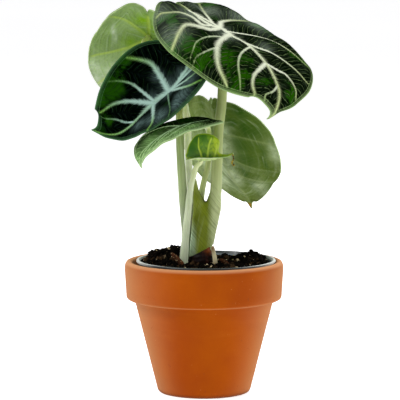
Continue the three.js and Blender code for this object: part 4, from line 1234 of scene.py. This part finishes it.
# Folded leaf
# The narrow leaf in front, half folded along its midrib and drooping left. It is younger, so its
# pale veins are broad for its size, and its lower edge shows a thick yellow-green rim.
FOLDED_LEAF = {
    "hub": (-7.5, -24, 205.7), "length": 60, "droop": 47, "tip_curl": 67, "lobe_droop": 23, "sweep": 1.4,
    "fold": 9, "twist": -8, "lean": -0.1, "notch": 0.2, "puff": 0.7, "quilt": 0.15, "thickness": 0.8,
    "grid": (150, 84),
    "left": {"width": 22.8, "curl": -10, "gain": 22, "lobe": 0.58, "shoulder": -0.06, "flare": 0},
    "right": {"width": 25, "curl": -30, "gain": -11, "lobe": 0.6, "shoulder": 0.18, "flare": 0},
    "ribs": [(0.75, 0.14), (0.5, 0.22), (0.26, 0.32), (0.02, 0.45), (-0.1, 0.66)],
    "veins": [(0.5, 0.3, [(-0.2, 0), (0.1, 0.02), (0.4, 0.02), (0.7, 0.02), (0.97, 0)]),
              (0.3, 0.2, [(0.05, 0.02), (0.12, 0.2), (0.3, 0.4), (0.5, 0.52), (0.7, 0.5)]),
              (0.3, 0.2, [(0.2, 0.02), (0.36, 0.14), (0.5, 0.28), (0.6, 0.42)]),
              (0.3, 0.2, [(0.4, 0.02), (0.54, 0.14), (0.66, 0.26), (0.76, 0.34)]),
              (0.3, 0.2, [(0.6, 0.02), (0.7, 0.1), (0.8, 0.2), (0.87, 0.2)]),
              (0.3, 0.2, [(0.2, -0.02), (0.3, -0.3), (0.45, -0.6), (0.6, -0.7)])],
    # These green places paint shade on the right half of the blade.
    "green": [(0.1, -0.6, 12), (0.4, -0.6, 12)],
    # These places paint sheen on the blade.
    "highlight": [(0.15, 0.6, 8), (0.35, 0.55, 11), (0.55, 0.45, 12), (0.75, 0.3, 12), (0.9, 0.1, 7),
             (0.62, -0.05, 7), (0.85, -0.1, 6)],
}
folded_face = velvet_finish(
    "velvet_upper_e", "020a00", "0d2a00", "22381a", ("7f9f78", "98b67c", "9ab680", "739a5a"),
    sheen_most=0.15, highlight_most=1.0, halo_most=0.4, twig_most=0.5,
)
folded_back = back_finish("folded_back", "8fb04a", "9db85c", "b7c57c", "6f9a2a", "a9c070")
grow_leaf("e", FOLDED_LEAF, 8.1, [folded_face, folded_back, velvet_edge])


# Youngest leaf
# A small bright green leaf in front, still cupped, with yellow-green veins and a whitish lip. It has
# no velvet yet, so it shines a little.
YOUNG_LEAF = {
    "hub": (-2.8, -14.1, 177.2), "length": 27, "droop": -26, "tip_curl": -24, "lobe_droop": -60, "sweep": 0,
    "fold": 42, "twist": 5, "lean": -0.1, "notch": 0.2, "puff": 0.5, "quilt": 0.1, "thickness": 0.75,
    "grid": (110, 72),
    "left": {"width": 19.3, "curl": 10, "gain": 0, "lobe": 0.78, "shoulder": 0.1, "flare": 0.2, "tail": 0.33,
             "span": 0.32},
    "right": {"width": 5.5, "curl": 60, "gain": 0, "lobe": 0.6, "shoulder": 0, "flare": 0},
    "ribs": [(0.52, 0.15), (0.38, 0.24), (0.14, 0.36), (-0.08, 0.56)],
    "veins": [(0.5, 0.3, [(-0.3, 0), (0, 0), (0.3, 0), (0.6, 0), (0.95, 0)]),
              (0.4, 0.25, [(0.05, 0), (0.02, 0.25), (-0.06, 0.5), (-0.08, 0.75)]),
              (0.45, 0.25, [(0.2, 0), (0.24, 0.3), (0.3, 0.6), (0.4, 0.82)]),
              (0.4, 0.25, [(0.38, 0), (0.46, 0.2), (0.52, 0.4), (0.56, 0.55)])],
    # These green places paint shade on the blade.
    "green": [(-0.3, 0.4, 7), (0.1, 0.95, 5), (-0.2, 0.8, 6)],
    # These places paint a highlight on the blade.
    "highlight": [(0.5, 0.4, 5), (0.6, 0.15, 4), (0.55, 0.65, 4)],
}


def young_finish(name, ground, second, vein_colour, lip):
    """Smooth bright leaf skin with soft yellow-green veins and a paler lip, painted shade in the listed
    green places and a painted highlight in bright yellow-green.
    """
    finish, tree, shader, spot = start_finish(name, 0.42, specular=0.4)
    gap, _, twig = measures(tree, "vein")
    rim, patch, _ = measures(tree, "rim")
    highlight = measures(tree, "main")[2]
    cloud = grain(tree, spot, 200.0, 3.0)
    arcs = thin_veins(tree, twig)
    fine = grain(tree, spot, 1300.0, 2.0)
    colour = blend(tree, fade(tree, cloud, 0.35, 0.7), ground, second)
    # Painted shade in dark green at the listed green places, then a painted highlight in bright yellow-green.
    colour = blend(tree, patch, colour, "2c5c06")
    colour = blend(tree, times(tree, highlight, 0.8), colour, "b0c018")
    colour = coat(tree, colour, "2c5c06", arcs, 0.2, 0.5, 0.5)
    colour = coat(tree, colour, vein_colour, gap, 0.9, -0.3, 0.8)
    colour = coat(tree, colour, lip, rim, 1.0, 0.3)
    colour = coat(tree, colour, "35620c", fine, 0.4, 0.8, 0.2)
    plug(tree, shader.inputs["Base Color"], colour)
    let_light_in(shader, 0.15, (0.5, 1.0, 0.15), 0.0015)
    relief(tree, shader, fade(tree, gap, 1.2, -0.3), 0.4, 0.0004)
    return finish


young_face = young_finish("young_upper", "4f7a04", "729808", "b8c83c", "93a82a")
young_back = young_finish("young_back", "a9bf78", "bccb92", "cfd9a0", "d5dcb8")
grow_leaf("f", YOUNG_LEAF, 10.9, [young_face, young_back, velvet_edge])


# Stub
# What is left of an old stalk at the right of the corm: a pale peg, cut off and dried on top.
STUB_PATH = [(9.2, -6.4, 92), (8.1, -6.5, 102), (6.4, -6.6, 111.5)]
STUB_LENGTH = 0.019
STUB_POINTS = 40
STUB_SIDES = 24
line = smooth_line(STUB_PATH, STUB_POINTS)
radii = numpy.linspace(2.0, 1.3, STUB_POINTS)
radii[-3:] = (1.25, 1.1, 0.7)
body = rolled(line, radii, STUB_SIDES)
stub_skin = stalk_finish("stub_skin", STUB_LENGTH, "6e4e2c", "cfc49c", "7c5c34")
finish_piece("Stalk_stub", body, [stub_skin], ["stalk_stub"])


# Dry scales
# Brown papery scales left on the corm by the first leaves: thin, cupped, uneven at the edge.
SCALES = {
    "left": ((-19.4, -11.9, 101.4), (2.2, 0.5, 7.8), (0, -44, -12)),
    "right": ((15.2, -7.4, 99.6), (1.9, 0.5, 4.3), (14, -58, -15)),
}
papery, tree, shader, spot = start_finish("papery_brown", 0.8, specular=0.2)
fibre = grain(tree, spot, 500.0, 4.0, 0.7, stretch=(1.0, 1.0, 0.25))
colour = blend(tree, fade(tree, fibre, 0.3, 0.7), "160903", "5c3216")
frayed = grain(tree, spot, 900.0, 2.0)
colour = coat(tree, colour, "c2aa7c", frayed, 0.6, 0.7, 0.8)
plug(tree, shader.inputs["Base Color"], colour)
relief(tree, shader, fibre, 0.8, 0.0004)
for where, (middle, size, turn) in SCALES.items():
    body = bmesh.new()
    bmesh.ops.create_uvsphere(body, u_segments=36, v_segments=28, radius=1.0)
    tilt = [Matrix.Rotation(math.radians(angle), 3, axis) for angle, axis in zip(turn, "XYZ")]
    for vertex in body.verts:
        x, y, z = vertex.co
        wave = 0.5 * noise.noise(Vector((x * 2.5, z * 2.5, 4.0)))
        torn = 1.0 + 0.3 * noise.noise(Vector((x * 3.5, y, 2.0)))
        cup = Vector((x * size[0], (y + wave) * size[1] + 0.28 * x * x, z * size[2] * torn))
        vertex.co = place(tilt[0] @ (tilt[1] @ (tilt[2] @ cup)) + Vector(middle))
    soften(body, 60.0)
    finish_piece("Dry_scale_" + where, body, [papery], ["dry_scale_" + where])


# Dry thread
# The withered end of the youngest leaf, a brown thread hanging from its tip.
THREAD = [(0.2, -0.2, -0.9), (0.9, -0.3, -4.5), (-0.3, 0, -7), (1.4, 0, -9.5)]
THREAD_POINTS = 50
THREAD_SIDES = 14
tip_spot = tip_place(YOUNG_LEAF, "f")
line = smooth_line([tip_spot + Vector(step) for step in THREAD], THREAD_POINTS)
knots = numpy.sin(numpy.linspace(0, 21, THREAD_POINTS))
radii = numpy.linspace(0.45, 0.75, THREAD_POINTS) * (1 + 0.15 * knots)
body = rolled(line, radii, THREAD_SIDES)
withered, tree, shader, spot = start_finish("withered_thread", 0.7, specular=0.2)
spotty = grain(tree, spot, 700.0, 2.0)
colour = blend(tree, fade(tree, spotty, 0.46, 0.56), "8d7c22", "241804")
plug(tree, shader.inputs["Base Color"], colour)
finish_piece("Dry_thread", body, [withered], ["dry_thread"])


# Floor and light
# A plain pale floor that runs far back, soft light from a large panel above and to the left, a
# weaker one on the right, and an even pale surround.
floor_finish, tree, shader, spot = start_finish("floor_paint", 0.9, specular=0.1)
shade = grain(tree, spot, 0.4, 2.0)
plug(tree, shader.inputs["Base Color"], blend(tree, fade(tree, shade, 0.3, 0.7), "f6f6f8", "f9f9fb"))
shader.inputs["Emission Color"].default_value = (1.0, 1.0, 1.0, 1.0)
shader.inputs["Emission Strength"].default_value = 0.62
body = bmesh.new()
bmesh.ops.create_grid(body, x_segments=4, y_segments=4, size=30.0)
mesh = bpy.data.meshes.new("Floor")
body.to_mesh(mesh)
body.free()
mesh.materials.append(floor_finish)
floor = bpy.data.objects.new("Floor", mesh)
bpy.context.scene.collection.objects.link(floor)

LIGHTS = [
    ("Key", (-1.0, -0.6, 1.25), 0.5, 18.0),
    ("Fill", (1.3, -0.2, 0.6), 0.8, 9.0),
    ("Back", (0.5, 1.1, 1.4), 0.8, 18.0),
]
for name, spot_on, size, power in LIGHTS:
    lamp = bpy.data.lights.new(name, "AREA")
    lamp.size = size
    lamp.energy = power
    light = bpy.data.objects.new(name, lamp)
    light.location = spot_on
    light.rotation_euler = (Vector((0.0, 0.0, 0.15)) - Vector(spot_on)).to_track_quat("-Z", "Y").to_euler()
    bpy.context.scene.collection.objects.link(light)
surround = bpy.data.worlds.new("Surround")
surround.use_nodes = True
even = surround.node_tree.nodes["Background"].inputs
even["Color"].default_value = (1.0, 1.0, 1.0, 1.0)
even["Strength"].default_value = 0.4
bpy.context.scene.world = surround
bpy.context.scene.view_settings.view_transform = "Standard"


# Camera
# It stands where the photo was taken from: in front, a little above the leaves, with a long lens.
CAMERA_PLACE = Vector((-3.05, -1800.0, 344.0))
CAMERA_AIM = Vector((-3.05, 0.0, 145.7))
SENSOR_WIDTH = 36.0
FOCAL_PIXELS = 2405.3
FRAME_PIXELS = 400
lens = bpy.data.cameras.new("Camera")
lens.sensor_width = SENSOR_WIDTH
lens.lens = FOCAL_PIXELS / FRAME_PIXELS * SENSOR_WIDTH
lens.clip_end = 100.0
camera = bpy.data.objects.new("Camera", lens)
camera.location = place(CAMERA_PLACE)
camera.rotation_euler = (CAMERA_AIM - CAMERA_PLACE).to_track_quat("-Z", "Y").to_euler()
bpy.context.scene.collection.objects.link(camera)
bpy.context.scene.camera = camera
